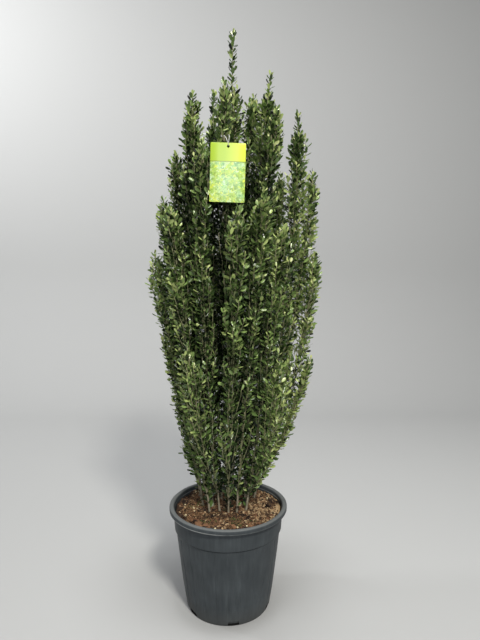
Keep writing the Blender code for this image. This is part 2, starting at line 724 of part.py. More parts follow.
def main():
    clear_scene()
    plastic = material("pot_plastic", (0.065, 0.070, 0.072), 0.45)
    mix = material("potting_mix", (0.085, 0.045, 0.028), 0.95)
    bark = material("bark", (0.17, 0.14, 0.095), 0.8)
    leaves = material("leaves", (0.035, 0.10, 0.025), 0.35)
    paper = material("label_card", (0.42, 0.55, 0.12), 0.4)
    cord = material("label_tie", (0.75, 0.72, 0.62), 0.6)

    pot(plastic)
    potting_mix(mix)
    paths, bare = build_paths()
    spaces = Spaces(paths, bare, {shoot.name: shoot.reach * MM for shoot in SHOOTS + BOUGHS})
    card(paper)
    line = TieLine(paths["inner_front"])
    tie(line, cord)
    tie_line = np.array([line.at(k / 8) for k in range(9)])
    for shoot in SHOOTS:
        path = paths[shoot.name]
        limb("stem_" + shoot.name, limb_shape(path, 0.0, shoot.bare, flat_foot=True), bark)
        foliage(shoot, path, spaces, tie_line, leaves)
    for bough in BOUGHS:
        path = paths[bough.name]
        seat = limb_shape(paths[bough.parent], 0.0, bare[bough.parent], grow=CLEAR, flat_foot=True)
        if bough.bare:
            limb("bough_" + bough.name, limb_shape(path, 0.0, bough.bare), bark, seat)
            foliage(bough, path, spaces, tie_line, leaves)
        else:
            foliage(bough, path, spaces, tie_line, leaves, seat)


main()
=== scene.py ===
import math

import bpy
import numpy as np
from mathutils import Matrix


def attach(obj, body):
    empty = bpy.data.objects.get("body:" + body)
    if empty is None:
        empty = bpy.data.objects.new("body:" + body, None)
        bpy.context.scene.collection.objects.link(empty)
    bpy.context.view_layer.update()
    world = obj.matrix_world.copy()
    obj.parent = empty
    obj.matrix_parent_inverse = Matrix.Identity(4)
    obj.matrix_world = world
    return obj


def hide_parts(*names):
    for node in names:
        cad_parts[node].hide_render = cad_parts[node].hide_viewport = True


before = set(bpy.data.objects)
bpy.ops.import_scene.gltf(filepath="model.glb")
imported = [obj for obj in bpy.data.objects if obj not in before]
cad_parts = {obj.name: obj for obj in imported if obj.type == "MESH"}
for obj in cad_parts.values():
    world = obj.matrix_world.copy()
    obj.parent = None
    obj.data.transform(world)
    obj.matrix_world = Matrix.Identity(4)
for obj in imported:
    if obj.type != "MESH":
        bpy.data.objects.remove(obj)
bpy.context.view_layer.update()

# ---- pot ----
# A nursery container, injection moulded in one piece from grey polypropylene: a tapering body with
# shallow flutes, a wider collar above a step, and a rolled rim. Six drain notches are let into its foot,
# so that water runs out where it stands flat.

foot_radius = 0.099
body_top_radius = 0.124
step_height = 0.187
notches = 6
notch_reach = 0.084  # radius of the notch's back wall
notch_height = 0.012
notch_turn = math.radians(7.2)
notch_blend = math.radians(13)  # from the notch's middle, past which the wall's points stay even
first_notch = math.radians(-83.5)
flute_depth = 0.0011
flute_pitch = 15  # degrees from one flute to the next
flute_wide = 0.85


def linear(code):
    """An sRGB hex colour as linear RGBA."""
    srgb = np.array([int(code[k : k + 2], 16) for k in (1, 3, 5)]) / 255
    return (*np.where(srgb <= 0.04045, srgb / 12.92, ((srgb + 0.055) / 1.055) ** 2.4).tolist(), 1)


def add(tree, kind, joins=None, stops=(), **settings):
    """A node of this kind. settings are its properties, joins gives its inputs a value or another node's
    output, and stops are the colours of a ramp."""
    made = tree.nodes.new("ShaderNode" + kind)
    for key, value in settings.items():
        setattr(made, key, value)
    for key, value in (joins or {}).items():
        if isinstance(value, bpy.types.NodeSocket):
            tree.links.new(value, made.inputs[key])
        else:
            made.inputs[key].default_value = value
    for k, (place, code) in enumerate(stops):
        held = made.color_ramp.elements
        element = held[k] if k < 2 else held.new(place)
        element.position = place
        element.color = linear(code)
    return made


def new_finish(name, colour, roughness, **constants):
    """A material with this colour and roughness all over: returns it, its node tree and its surface node."""
    made = bpy.data.materials.new(name)
    made.use_nodes = True
    surface = made.node_tree.nodes["Principled BSDF"]
    surface.inputs["Base Color"].default_value = linear(colour)
    surface.inputs["Roughness"].default_value = roughness
    for key, value in constants.items():
        surface.inputs[key.replace("_", " ")].default_value = value
    return made, made.node_tree, surface


def grid_faces(rows, columns):
    """Two triangles for each cell of a grid of points whose rows are closed rings."""
    a = np.arange(rows - 1)[:, None] * columns + np.arange(columns)[None]
    b = np.arange(rows - 1)[:, None] * columns + (np.arange(columns) + 1)[None] % columns
    low = np.stack([a, b, b + columns], -1).reshape(-1, 3)
    high = np.stack([a, b + columns, a + columns], -1).reshape(-1, 3)
    return np.concatenate([low, high])


def welded(points, faces):
    """Points in the same place made one, and the faces that this closes up dropped."""
    _, first, index = np.unique(np.round(points, 7), axis=0, return_index=True, return_inverse=True)
    faces = index.reshape(-1)[faces]
    a, b, c = faces.T
    return points[first], faces[(a != b) & (b != c) & (c != a)]


def make_piece(name, points, faces, finishes, slot, nodes=(), chosen=None, sharp=None):
    """A piece of triangles that rides on the one body and stands for these nodes. chosen gives each face's
    place in the list of finishes, and sharp is the angle in degrees past which an edge isn't smoothed."""
    mesh = bpy.data.meshes.new(name)
    mesh.vertices.add(len(points))
    mesh.vertices.foreach_set("co", np.ascontiguousarray(points, np.float32).ravel())
    mesh.loops.add(faces.size)
    mesh.loops.foreach_set("vertex_index", np.ascontiguousarray(faces, np.int32).ravel())
    mesh.polygons.add(len(faces))
    mesh.polygons.foreach_set("loop_start", np.arange(0, faces.size, 3, dtype=np.int32))
    if chosen is not None:
        mesh.polygons.foreach_set("material_index", np.asarray(chosen, np.int32))
    for finish in finishes:
        mesh.materials.append(finish)
    mesh.update(calc_edges=True)
    mesh.shade_smooth()
    if sharp:
        mesh.set_sharp_from_angle(angle=math.radians(sharp))
    piece = bpy.data.objects.new(name, mesh)
    bpy.context.scene.collection.objects.link(piece)
    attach(piece, "root")
    if nodes:
        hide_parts(*nodes)
    return piece


def pot_profile():
    """The section of the pot as radius and height, from the middle of its underside up its outside, over the
    rolled rim and down its inside. The body's radius grows as the height to the power 0.82."""
    heights = np.array([4, 8, 11.99, 12.01, 16, 24, 36, 52, 70, 90, 110, 130, 150, 166, 177, 182, 184]) / 1000
    radii = foot_radius + (body_top_radius - foot_radius) * (heights / step_height) ** 0.82
    base = [(0, 0), (60, 0), (84, 0), (96.6, 0), (98.4, 0.4), (99.1, 1.6)]
    step = [(124.0, 185.3), (123.7, 185.9), (122.7, 186.2), (122.7, 187.2), (126.4, 187.5), (127.1, 188.2)]
    collar = [(127.3, 190), (128.1, 202), (129.0, 216), (129.6, 227), (129.9, 229.8), (130.8, 230.9)]
    lip = [(132.4, 231.1), (137.8, 231.0), (139.3, 231.4), (140, 232.7), (140, 238.9), (139.6, 240.5)]
    top = [(138.5, 241.6), (136.8, 242), (132.8, 242), (131.0, 241.7), (129.5, 240.6), (128.4, 238.4)]
    inside = [(127.7, 232), (125.4, 190), (122.0, 183), (119.6, 150), (97.0, 5), (0, 5)]
    outside = np.array(step + collar + lip + top + inside) / 1000
    return np.concatenate([np.array(base) / 1000, np.stack([radii, heights], 1), outside])


def pot_surface():
    """The section turned through a full round. Flutes draw the body in by a narrow bell curve every few
    degrees. Inside a notch's angle, which closes in with height, the wall steps back to the notch's back
    wall, and the points beside it move with its edge."""
    profile = pot_profile()
    even = np.radians(np.arange(-32, 32) * 60 / 64)
    edges = [side * notch_turn + shift for side in (-1, 1) for shift in (-0.0004, 0.0004)]
    local = np.sort(np.concatenate([even, edges]))
    centre = np.repeat(first_notch + math.tau * np.arange(notches) / notches, len(local))[None]
    local = np.tile(local, notches)[None]
    radius, height = profile[:, :1], profile[:, 1:]
    half = (0.0140 - 0.00324 * np.minimum(height, notch_height) / notch_height) / foot_radius
    low = np.clip((0.026 - height) / 0.012, 0, 1)
    near = np.abs(local) <= notch_turn
    blend = np.clip((notch_blend - np.abs(local)) / (notch_blend - notch_turn), 0, 1)
    moved = np.where(near, local * half / notch_turn, local + np.sign(local) * (half - notch_turn) * blend)
    turn = centre + local + (moved - local) * low
    to_flute = (np.degrees(turn) + flute_pitch / 2) % flute_pitch - flute_pitch / 2
    fluted = np.clip((height - 0.012) / 0.01, 0, 1) * np.clip((0.184 - height) / 0.004, 0, 1)
    fluted = fluted * (radius > 0.0985) * (np.arange(len(profile)) < 24)[:, None]
    bell = np.exp(-((to_flute / flute_wide) ** 2))
    depth = flute_depth * (bell + 0.35 * (1 - (to_flute / (flute_pitch / 2)) ** 2))
    uneven = 0.00025 * np.sin(2 * turn + 0.7) + 0.00015 * np.sin(5 * turn + 60 * height)
    out = radius - depth * fluted + uneven * (radius > 0.09)
    in_wall = (height > 0.001) & (height < notch_height) & (np.arange(len(profile)) < 9)[:, None]
    notched = (np.abs(local) < notch_turn) & in_wall
    out = np.where(notched, np.minimum(out, notch_reach), out)
    points = np.stack([out * np.cos(turn), out * np.sin(turn), np.broadcast_to(height, out.shape)], -1)
    return points.reshape(-1, 3), grid_faces(*out.shape)


# Polypropylene out of a mould is dark, dull grey and cloudy over 60 mm, with faint upright scuffs 8 mm
# wide and a film of dust on its lowest 45 mm. The rim's top is painted paler: handling wear and painted
# highlight.
pot_finish, tree, surface = new_finish(
    "moulded_polypropylene", "#41474A", 0.5, IOR=1.49, Specular_IOR_Level=0.16
)
place = add(tree, "TexCoord").outputs["Object"]
cloud = add(tree, "TexNoise", {"Vector": place, "Scale": 16, "Detail": 3}).outputs["Fac"]
upright = add(tree, "Mapping", {"Vector": place, "Scale": (1, 1, 0.10)}).outputs["Vector"]
scuff = add(tree, "TexNoise", {"Vector": upright, "Scale": 130, "Detail": 4, "Roughness": 0.6}).outputs["Fac"]
both = add(tree, "Math", {0: cloud, 1: scuff}, operation="ADD").outputs[0]
half = add(tree, "Math", {0: both, 1: 0.5}, operation="MULTIPLY").outputs[0]
greys = ((0.34, "#363B3E"), (0.66, "#484E51"), (0.5, "#3E4346"))
tone = add(tree, "ValToRGB", {"Fac": half}, stops=greys).outputs["Color"]
level = add(tree, "SeparateXYZ", {"Vector": place}).outputs["Z"]
dust = add(tree, "MapRange", {"Value": level, 1: 0.045, 2: 0.0, 3: 0.0, 4: 0.30}).outputs["Result"]
dusty = add(tree, "Mix", {0: dust, 6: tone, 7: linear("#5C5A55")}, data_type="RGBA").outputs[2]
# the rim's top: wear from handling together with a painted highlight
rim_wear_and_highlight = add(tree, "MapRange", {"Value": level, 1: 0.2395, 2: 0.2418, 3: 0.0, 4: 0.45}).outputs["Result"]
with_rim_wear_and_highlight = add(tree, "Mix", {0: rim_wear_and_highlight, 6: dusty, 7: linear("#8C8F8E")}, data_type="RGBA").outputs[2]
# painted shade darkens the crease under the step, and a painted highlight runs pale along the lip's lower
# edge here and there
crease = add(tree, "MapRange", {"Value": level, 1: 0.1832, 2: 0.1862, 3: 0.0, 4: 0.75}).outputs["Result"]
below_step = add(tree, "Math", {0: level, 1: 0.1868}, operation="LESS_THAN").outputs[0]
crease_shade = add(tree, "Math", {0: crease, 1: below_step}, operation="MULTIPLY").outputs[0]
with_crease_shade = add(tree, "Mix", {0: crease_shade, 6: with_rim_wear_and_highlight, 7: linear("#0E0F0F")}, data_type="RGBA").outputs[2]
# a painted highlight: a pale, patchy line along the lip's lower edge
off_lip = add(tree, "Math", {0: level, 1: -0.2326}, operation="ADD").outputs[0]
off_lip = add(tree, "Math", {0: off_lip}, operation="ABSOLUTE").outputs[0]
on_lip = add(tree, "MapRange", {"Value": off_lip, 1: 0.0004, 2: 0.0016, 3: 1.0, 4: 0.0}).outputs["Result"]
patchy = add(tree, "MapRange", {"Value": cloud, 1: 0.42, 2: 0.60, 3: 0.10, 4: 0.85}).outputs["Result"]
lip_highlight = add(tree, "Math", {0: on_lip, 1: patchy}, operation="MULTIPLY").outputs[0]
with_lip_highlight = add(tree, "Mix", {0: lip_highlight, 6: with_crease_shade, 7: linear("#A3A6A4")}, data_type="RGBA").outputs[2]
tree.links.new(with_lip_highlight, surface.inputs["Base Color"])
dull = add(tree, "MapRange", {"Value": scuff, 1: 0.3, 2: 0.7, 3: 0.44, 4: 0.58}).outputs["Result"]
tree.links.new(dull, surface.inputs["Roughness"])
# the mould's fine grain is about 0.3 mm, and is drawn at 1.5 mm so that it breaks up the shine at all
grain = add(tree, "TexNoise", {"Vector": place, "Scale": 650, "Detail": 2}).outputs["Fac"]
bump = add(tree, "Bump", {"Height": grain, "Strength": 0.12, "Distance": 0.0006})
tree.links.new(bump.outputs["Normal"], surface.inputs["Normal"])

# The notches open into the hollow under the root ball. Their recess faces are painted near black as the
# shade in there, mottled over 3 mm.
notch_shade_finish, tree, surface = new_finish("notch_painted_shade", "#0B0B0B", 0.8)
place = add(tree, "TexCoord").outputs["Object"]
shade_mottle = add(tree, "TexNoise", {"Vector": place, "Scale": 300}).outputs["Fac"]
tone = add(tree, "ValToRGB", {"Fac": shade_mottle}, stops=((0.3, "#060606"), (0.7, "#151413"))).outputs["Color"]
tree.links.new(tone, surface.inputs["Base Color"])

points, faces = welded(*pot_surface())
middle = points[faces].mean(1)
away = np.hypot(middle[:, 0], middle[:, 1])
turn = np.arctan2(middle[:, 1], middle[:, 0]) - first_notch
turn = np.abs((turn + math.pi / notches) % (math.tau / notches) - math.pi / notches)
in_height = (middle[:, 2] > 0.0002) & (middle[:, 2] < notch_height + 0.00002)
# the faces of the notches' recess, which take the painted shade
shaded_recess = (turn < math.radians(8.3)) & in_height & (away < 0.0975)
make_piece(
    "nursery_pot", points, faces, [pot_finish, notch_shade_finish], "pot", ["pot"], shaded_recess.astype(int), sharp=38
)

# ---- potting mix ----
# Composted bark and peat that fills the pot to a finger's width below its rim. It is loose crumb, topped
# with bark chips, plates of outer bark, fibres, a few cream grains of perlite and crumbs of moss.

mix_top = 0.230
mix_radius = 0.1245
mix_chance = np.random.default_rng(11)


def mix_height(x, y):
    """Sum of crossing waves from 55 mm long down to 5 mm, each as high as a 44th of its length."""
    waves = np.random.default_rng(3)
    total = np.zeros_like(x)
    for octave in range(9):
        for _ in range(3):
            long = 0.055 * 0.74**octave
            way = waves.uniform(0, math.tau)
            total += long / 44 * np.sin(math.tau / long * (x * math.cos(way) + y * math.sin(way)) + way * 9)
    return total


def mix_surface():
    """A disc of rings from the middle to the wall, raised by the waves, then a skirt and a flat underside."""
    rows = np.linspace(0, mix_radius, 64)
    turn = np.linspace(0, math.tau, 210, endpoint=False)
    x, y = rows[:, None] * np.cos(turn), rows[:, None] * np.sin(turn)
    top = np.stack([x, y, mix_top + mix_height(x, y)], -1)
    skirt = np.array([(0.1215, 0.215), (0.1190, 0.186), (0.0955, 0.0065), (0, 0.0065)])
    radius, height = skirt[:, :1], np.broadcast_to(skirt[:, 1:], (len(skirt), len(turn)))
    below = np.stack([radius * np.cos(turn), radius * np.sin(turn), height], -1)
    points = np.concatenate([top, below])
    return points.reshape(-1, 3), grid_faces(len(points), len(turn))[:, ::-1]


def scatter(shape, faces, centres, sizes, frames, jitter, chance):
    """One copy of a small shape at each centre: its points times the sizes, each moved a little at random,
    along the copy's own three axes."""
    points = shape[None] * sizes[:, None]
    points = points + chance.normal(0, jitter, points.shape) * sizes[:, None]
    points = np.einsum("nkj,nji->nki", points, frames) + centres[:, None]
    every = faces[None] + np.arange(len(centres))[:, None, None] * len(shape)
    return points.reshape(-1, 3), every.reshape(-1, 3)


def laid_frames(count, tilt, chance):
    """Axes of things that lie on the mix: turned any way, then tipped by a normal share of the tilt."""
    yaw = chance.uniform(0, math.tau, count)
    along = np.stack([np.cos(yaw), np.sin(yaw), chance.normal(0, tilt, count)], -1)
    along /= np.linalg.norm(along, axis=1, keepdims=True)
    over = np.stack([chance.normal(0, tilt, count), chance.normal(0, tilt, count), np.ones(count)], -1)
    side = np.cross(over, along)
    side /= np.linalg.norm(side, axis=1, keepdims=True)
    return np.stack([along, side, np.cross(along, side)], 1)


def on_mix(count, chance, reach=0.119):
    """Even random places over the mix's disc, on its surface."""
    away = reach * np.sqrt(chance.uniform(0, 1, count))
    turn = chance.uniform(0, math.tau, count)
    x, y = away * np.cos(turn), away * np.sin(turn)
    return np.stack([x, y, mix_top + mix_height(x, y)], -1)


def grained_finish(name, colour, roughness, scale, strength, deep, detail=2, **constants):
    """A material of one colour whose surface rises and falls by a noise with this many grains to the metre,
    this many metres deep."""
    made, tree, surface = new_finish(name, colour, roughness, **constants)
    place = add(tree, "TexCoord").outputs["Object"]
    grain = add(tree, "TexNoise", {"Vector": place, "Scale": scale, "Detail": detail}).outputs["Fac"]
    bump = add(tree, "Bump", {"Height": grain, "Strength": strength, "Distance": deep})
    tree.links.new(bump.outputs["Normal"], surface.inputs["Normal"])
    return made


# Moist peat and bark fines: nearly black in the pits and grey-brown on the crumbs, which are 4 mm across,
# without any shine.
mix_finish, tree, surface = new_finish("peat_and_bark_fines", "#4A3427", 0.95, Specular_IOR_Level=0.2)
place = add(tree, "TexCoord").outputs["Object"]
crumbs = add(tree, "TexNoise", {"Vector": place, "Scale": 260, "Detail": 6, "Roughness": 0.7}).outputs["Fac"]
browns = ((0.3, "#1B1512"), (0.72, "#6C5746"), (0.5, "#3E3028"))
tone = add(tree, "ValToRGB", {"Fac": crumbs}, stops=browns).outputs["Color"]
# on the right the fines have dried out, pale tan, with a ragged edge that strays over 20 mm
sideways = add(tree, "SeparateXYZ", {"Vector": place}).outputs["X"]
patches = add(tree, "TexNoise", {"Vector": place, "Scale": 45, "Detail": 3}).outputs["Fac"]
patches = add(tree, "MapRange", {"Value": patches, 3: -0.05, 4: 0.05}).outputs["Result"]
ragged = add(tree, "Math", {0: sideways, 1: patches}, operation="ADD").outputs[0]
dry = add(tree, "MapRange", {"Value": ragged, 1: 0.020, 2: 0.060, 3: 0.0, 4: 0.8}).outputs["Result"]
mixed = add(tree, "Mix", {0: dry, 6: tone, 7: linear("#B3966F")}, data_type="RGBA").outputs[2]
tree.links.new(mixed, surface.inputs["Base Color"])
bump = add(tree, "Bump", {"Height": crumbs, "Strength": 0.9, "Distance": 0.002})
tree.links.new(bump.outputs["Normal"], surface.inputs["Normal"])
make_piece("potting_mix_bed", *welded(*mix_surface()), [mix_finish], "potting_mix", ["potting_mix"])

block = np.array([(x, y, z) for x in (-0.5, 0.5) for y in (-0.5, 0.5) for z in (-0.5, 0.5)])
block_sides = [(0, 1, 3, 2), (4, 6, 7, 5), (0, 4, 5, 1), (2, 3, 7, 6), (0, 2, 6, 4), (1, 5, 7, 3)]
block_faces = np.array([(a, *pair) for a, b, c, d in block_sides for pair in ((b, c), (c, d))])
# Broken pine bark: dull, corky flakes with a grain of 1 mm. Each lot is one shade, from soaked dark to dry
# tan, and one more lot is torn moss.
# name, colour, how many, how long
chip_lots = (
    ("dark_bark_chips", "#2C211B", 1000, 0.0050),
    ("brown_bark_chips", "#483629", 1500, 0.0046),
    ("russet_bark_chips", "#6E4E39", 600, 0.0048),
    ("tan_bark_chips", "#BCA27E", 800, 0.0034),
    ("moss_crumbs", "#545C33", 260, 0.0026),
)
for name, colour, count, long in chip_lots:
    finish = grained_finish(
        name + "_finish", colour, 0.9, scale=900, strength=0.7, deep=0.001, detail=4, Specular_IOR_Level=0.25
    )
    if name == "moss_crumbs":
        tufts = on_mix(14, mix_chance, reach=0.108)
        centres = tufts[mix_chance.integers(0, len(tufts), count)]
        centres = centres + mix_chance.normal(0, 1, (count, 3)) * (0.007, 0.007, 0.0006) + (0, 0, 0.0012)
        sizes = long * mix_chance.uniform(0.5, 1.2, (count, 3)) * (1, 0.8, 0.8)
    elif name == "tan_bark_chips":
        # most of the dry, pale chips lie in one drift on the right of the pot
        drift = mix_chance.normal(0, 1, (count, 2)) * (0.024, 0.030) + (0.076, -0.030)
        loose = on_mix(count, mix_chance)
        drifted = mix_chance.uniform(0, 1, count) < 0.62
        x = np.where(drifted, drift[:, 0], loose[:, 0])
        y = np.where(drifted, drift[:, 1], loose[:, 1])
        inward = np.minimum(1, 0.117 / np.hypot(x, y))
        x, y = x * inward, y * inward
        centres = np.stack([x, y, mix_top + mix_height(x, y) + 0.0018], -1)
        sizes = long * mix_chance.lognormal(0, 0.35, (count, 1)) * mix_chance.uniform(0.6, 1.1, (count, 3))
        sizes = sizes * (1.3, 0.75, 0.32)
    else:
        centres = on_mix(count, mix_chance) + (0, 0, 0.0006)
        sizes = long * mix_chance.lognormal(0, 0.42, (count, 1)) * mix_chance.uniform(0.6, 1.1, (count, 3))
        sizes = np.minimum(sizes * (1.35, 0.75, 0.34), (0.019, 0.010, 0.0045))
    frames = laid_frames(count, tilt=0.32, chance=mix_chance)
    points, faces = scatter(block, block_faces, centres, sizes, frames, jitter=0.11, chance=mix_chance)
    make_piece(name, points, faces, [finish], "potting_mix", sharp=30)

# Five flat plates of outer bark lie at the front and sides. They are rough, orange-brown and up to 26 mm
# long, with ridges 2 mm apart.
finish, tree, surface = new_finish("outer_bark_plate_finish", "#8A6347", 0.88, Specular_IOR_Level=0.25)
place = add(tree, "TexCoord").outputs["Object"]
ridges = add(tree, "TexNoise", {"Vector": place, "Scale": 420, "Detail": 5}).outputs["Fac"]
tone = add(tree, "ValToRGB", {"Fac": ridges}, stops=((0.3, "#5A3F2D"), (0.7, "#9C7455"))).outputs["Color"]
tree.links.new(tone, surface.inputs["Base Color"])
bump = add(tree, "Bump", {"Height": ridges, "Strength": 0.8, "Distance": 0.0015})
tree.links.new(bump.outputs["Normal"], surface.inputs["Normal"])
x = np.array([-0.066, -0.049, 0.012, -0.082, 0.046])
y = np.array([-0.093, -0.100, -0.110, -0.060, -0.098])
centres = np.stack([x, y, mix_top + mix_height(x, y) + 0.003], -1)
sizes = np.array([(26, 11, 4), (21, 10, 4), (15, 8, 3), (14, 9, 3), (17, 8, 3)]) / 1000
frames = laid_frames(len(sizes), tilt=0.12, chance=mix_chance)
points, faces = scatter(block, block_faces, centres, sizes, frames, jitter=0.09, chance=mix_chance)
make_piece("outer_bark_plates", points, faces, [finish], "potting_mix", sharp=30)

# Perlite: popped volcanic glass, matt and stained cream by the peat. Its foam is under 0.5 mm, and is
# drawn at 0.8 mm.
golden = (1 + 5**0.5) / 2
ball = np.array([(0, a, b * golden) for a in (-1, 1) for b in (-1, 1)])
ball = np.concatenate([ball, ball[:, [1, 2, 0]], ball[:, [2, 0, 1]]]) / 2
gaps = np.linalg.norm(ball[:, None] - ball[None], axis=2)
a, b, c = (corners.ravel() for corners in np.indices((12, 12, 12)))
touching = (a < b) & (b < c) & (gaps[a, b] < 1.1) & (gaps[b, c] < 1.1) & (gaps[a, c] < 1.1)
ball_faces = np.stack([a, b, c], 1)[touching]
inward = np.linalg.det(ball[ball_faces]) < 0
ball_faces[inward] = ball_faces[inward][:, ::-1]
finish = grained_finish(
    "perlite", "#DDCFA6", 0.85, scale=1200, strength=0.6, deep=0.0008, Specular_IOR_Level=0.3
)
grains = 46
centres = on_mix(grains, mix_chance, reach=0.116) + (0, 0, 0.0012)
sizes = mix_chance.uniform(0.0013, 0.0030, (grains, 1)) * mix_chance.uniform(0.8, 1.2, (grains, 3))
# the four largest lie at the left and in front
centres[:4, :2] = ((-0.098, -0.048), (-0.030, -0.112), (-0.082, -0.010), (-0.074, -0.008))
centres[:4, 2] = mix_top + mix_height(centres[:4, 0], centres[:4, 1]) + 0.0022
sizes[:4] = np.array([(42, 36, 30), (46, 38, 32), (50, 30, 28), (40, 30, 26)]) / 10000
frames = laid_frames(grains, tilt=0.4, chance=mix_chance)
points, faces = scatter(ball, ball_faces, centres, sizes, frames, jitter=0.06, chance=mix_chance)
make_piece("perlite_grains", points, faces, [finish], "potting_mix", sharp=50)


def tubes(centres, radii, sides):
    """Round tubes, one to each row of centres. A ring lies square to its line, at the line's radius there,
    and both ends are closed by fans. radii is one number to a ring, or one to each point of a ring."""
    axes = np.gradient(centres, axis=1)
    axes /= np.linalg.norm(axes, axis=2, keepdims=True)
    lying = np.abs(axes[:, :1, 0:1]) > 0.9
    across_from = np.where(lying, (0.0, 1.0, 0.0), (1.0, 0.0, 0.0))
    side = across_from - (across_from * axes).sum(2, keepdims=True) * axes
    side /= np.linalg.norm(side, axis=2, keepdims=True)
    over = np.cross(axes, side)
    turn = math.tau * np.arange(sides) / sides
    ring = np.cos(turn)[:, None] * side[:, :, None] + np.sin(turn)[:, None] * over[:, :, None]
    radii = radii[..., None] if radii.ndim == 2 else radii
    points = centres[:, :, None] + radii[..., None] * ring
    count, rings = centres.shape[:2]
    fan = np.array([(0, k + 1, k) for k in range(1, sides - 1)])
    one = np.concatenate([grid_faces(rings, sides), fan, fan[:, ::-1] + (rings - 1) * sides])
    every = one[None] + np.arange(count)[:, None, None] * rings * sides
    return points.reshape(-1, 3), every.reshape(-1, 3)


# Root hairs and peat fibres: dry, curled threads up to 1 mm thick that stick out of the crumb, matt and
# uneven along their length.
finish = grained_finish(
    "dry_fibre", "#A07E5C", 0.9, scale=1500, strength=0.4, deep=0.0005, Specular_IOR_Level=0.2
)
count = 1300
starts = on_mix(count, mix_chance, reach=0.112) + (0, 0, 0.0012)
yaw = mix_chance.uniform(0, math.tau, (count, 1))
bend = mix_chance.normal(0, 1.1, (count, 1))
long = mix_chance.uniform(0.006, 0.024, (count, 1))
along = np.linspace(0, 1, 5)[None]
x = starts[:, :1] + long * along * np.cos(yaw + bend * along)
y = starts[:, 1:2] + long * along * np.sin(yaw + bend * along)
inward = np.minimum(1, 0.119 / np.hypot(x, y))
x, y = x * inward, y * inward
rise = mix_chance.uniform(0.0005, 0.0045, (count, 1)) * np.sin(math.pi * along * 0.8)
centres = np.stack([x, y, mix_top + mix_height(x, y) + 0.0012 + rise], -1)
radii = np.broadcast_to(mix_chance.uniform(0.0002, 0.00045, (count, 1)), x.shape)
points, faces = tubes(centres, radii, sides=3)
make_piece("peat_fibres", points, faces, [finish], "potting_mix")

# ---- stems and boughs ----
# Nineteen upright stems rise from the mix, each flared where it meets its roots, and thinner boughs fork
# from them. Their bark is thin and grey-brown, with shallow upright ridges and swellings at old buds.

# name, foot x y, tip x y z, how far the middle bows x y z, share below the leaves, reach of the leaves
# round it, length of the tip that has no side twigs, radius at the foot: all lengths in mm
shoots = (
    ("leader", (4, 6), (13, 0, 1332), (-3, 4, 0), 0.30, 36, 112, 3.8),
    ("left_tall", (-36, -4), (-78, -14, 1192), (-16, 4, 0), 0.17, 31, 6, 3.4),
    ("left_inner", (-16, 40), (-33, 70, 1227), (-10, 6, 0), 0.24, 28, 70, 3.1),
    ("left_back", (-52, 22), (-121, 32, 1073), (-8, 12, 0), 0.16, 32, 5, 3.3),
    ("left_mid", (-60, 6), (-144, -26, 958), (-4, -4, 0), 0.12, 28, 8, 3.0),
    ("left_outer", (-66, 40), (-171, 12, 840), (-4, 4, 0), 0.12, 31, 5, 3.1),
    ("left_front", (-44, -22), (-123, -66, 932), (-4, -4, 0), 0.09, 30, 8, 3.0),
    ("right_tall", (24, 18), (101, 30, 1255), (-8, 8, 0), 0.24, 28, 40, 3.6),
    ("right_inner", (12, 46), (64, 84, 1223), (-8, 4, 0), 0.24, 28, 4, 3.3),
    ("right_shoulder", (40, 2), (109, -22, 1160), (-6, -6, 0), 0.16, 28, 4, 3.4),
    ("far_right", (48, 28), (161, 5, 1156), (30, -4, 0), 0.17, 32, 32, 3.4),
    ("right_outer", (64, 44), (201, 24, 1030), (19, 6, 0), 0.18, 29, 10, 3.4),
    ("front_left", (-20, -26), (-52, -84, 1070), (-14, -14, 0), 0.08, 30, 8, 3.0),
    ("front_centre", (0, -34), (25, -130, 926), (-4, -12, 0), 0.07, 34, 6, 2.8),
    ("front_right", (20, -28), (76, -112, 962), (-4, -8, 0), 0.08, 30, 10, 3.0),
    ("right_front", (42, -20), (120, -98, 892), (4, -4, 0), 0.09, 32, 6, 3.0),
    ("back_left", (-38, 56), (-92, 112, 1080), (-6, 10, 0), 0.13, 35, 20, 3.3),
    ("back_centre", (-2, 66), (12, 138, 1110), (-2, 12, 0), 0.13, 35, 35, 3.3),
    ("back_right", (34, 60), (133, 98, 1040), (8, 6, 0), 0.13, 31, 8, 3.3),
)
# the same for the boughs, with the stem that each forks from and the share of it where it does
boughs = (
    ("inner_front", "leader", 0.20, (-8, -46, 1206), (-2, -16, -30), 0.30, 26, 8),
    ("right_low", "right_outer", 0.10, (207, 10, 842), (16, -2, -20), 0.20, 28, 6),
    ("right_foot", "right_outer", 0.05, (192, -30, 603), (4, -24, -10), 0.18, 16, 5),
    ("back_low_left", "back_left", 0.07, (-136, 104, 884), (-10, 6, -10), 0.16, 35, 8),
    ("back_low_centre", "back_centre", 0.08, (-22, 184, 862), (0, 14, -10), 0.16, 36, 14),
    ("back_low_right", "back_right", 0.07, (92, 156, 930), (4, 12, -10), 0.16, 35, 6),
    ("low_front_left", "front_left", 0.05, (-88, -104, 640), (-4, -6, -20), 0.0, 32, 10),
    ("low_front_right", "right_front", 0.06, (112, -92, 600), (8, -8, -20), 0.0, 31, 8),
    ("low_left", "left_outer", 0.05, (-136, 64, 630), (-4, 4, -20), 0.0, 31, 6),
    ("low_right", "far_right", 0.05, (150, 8, 600), (6, 2, -20), 0.0, 28, 8),
    ("low_back", "back_centre", 0.05, (28, 158, 640), (4, 12, -20), 0.0, 34, 10),
)
shoot_tip_radius = 0.0013
fork_share = 0.62  # of the stem's radius where it forks, which a bough starts with
names = [row[0] for row in shoots + boughs]
count = len(names)
feet, tips, bellies = np.zeros((count, 3)), np.zeros((count, 3)), np.zeros((count, 3))
bare, reaches, spires, thick = np.zeros(count), np.zeros(count), np.zeros(count), np.zeros(count)


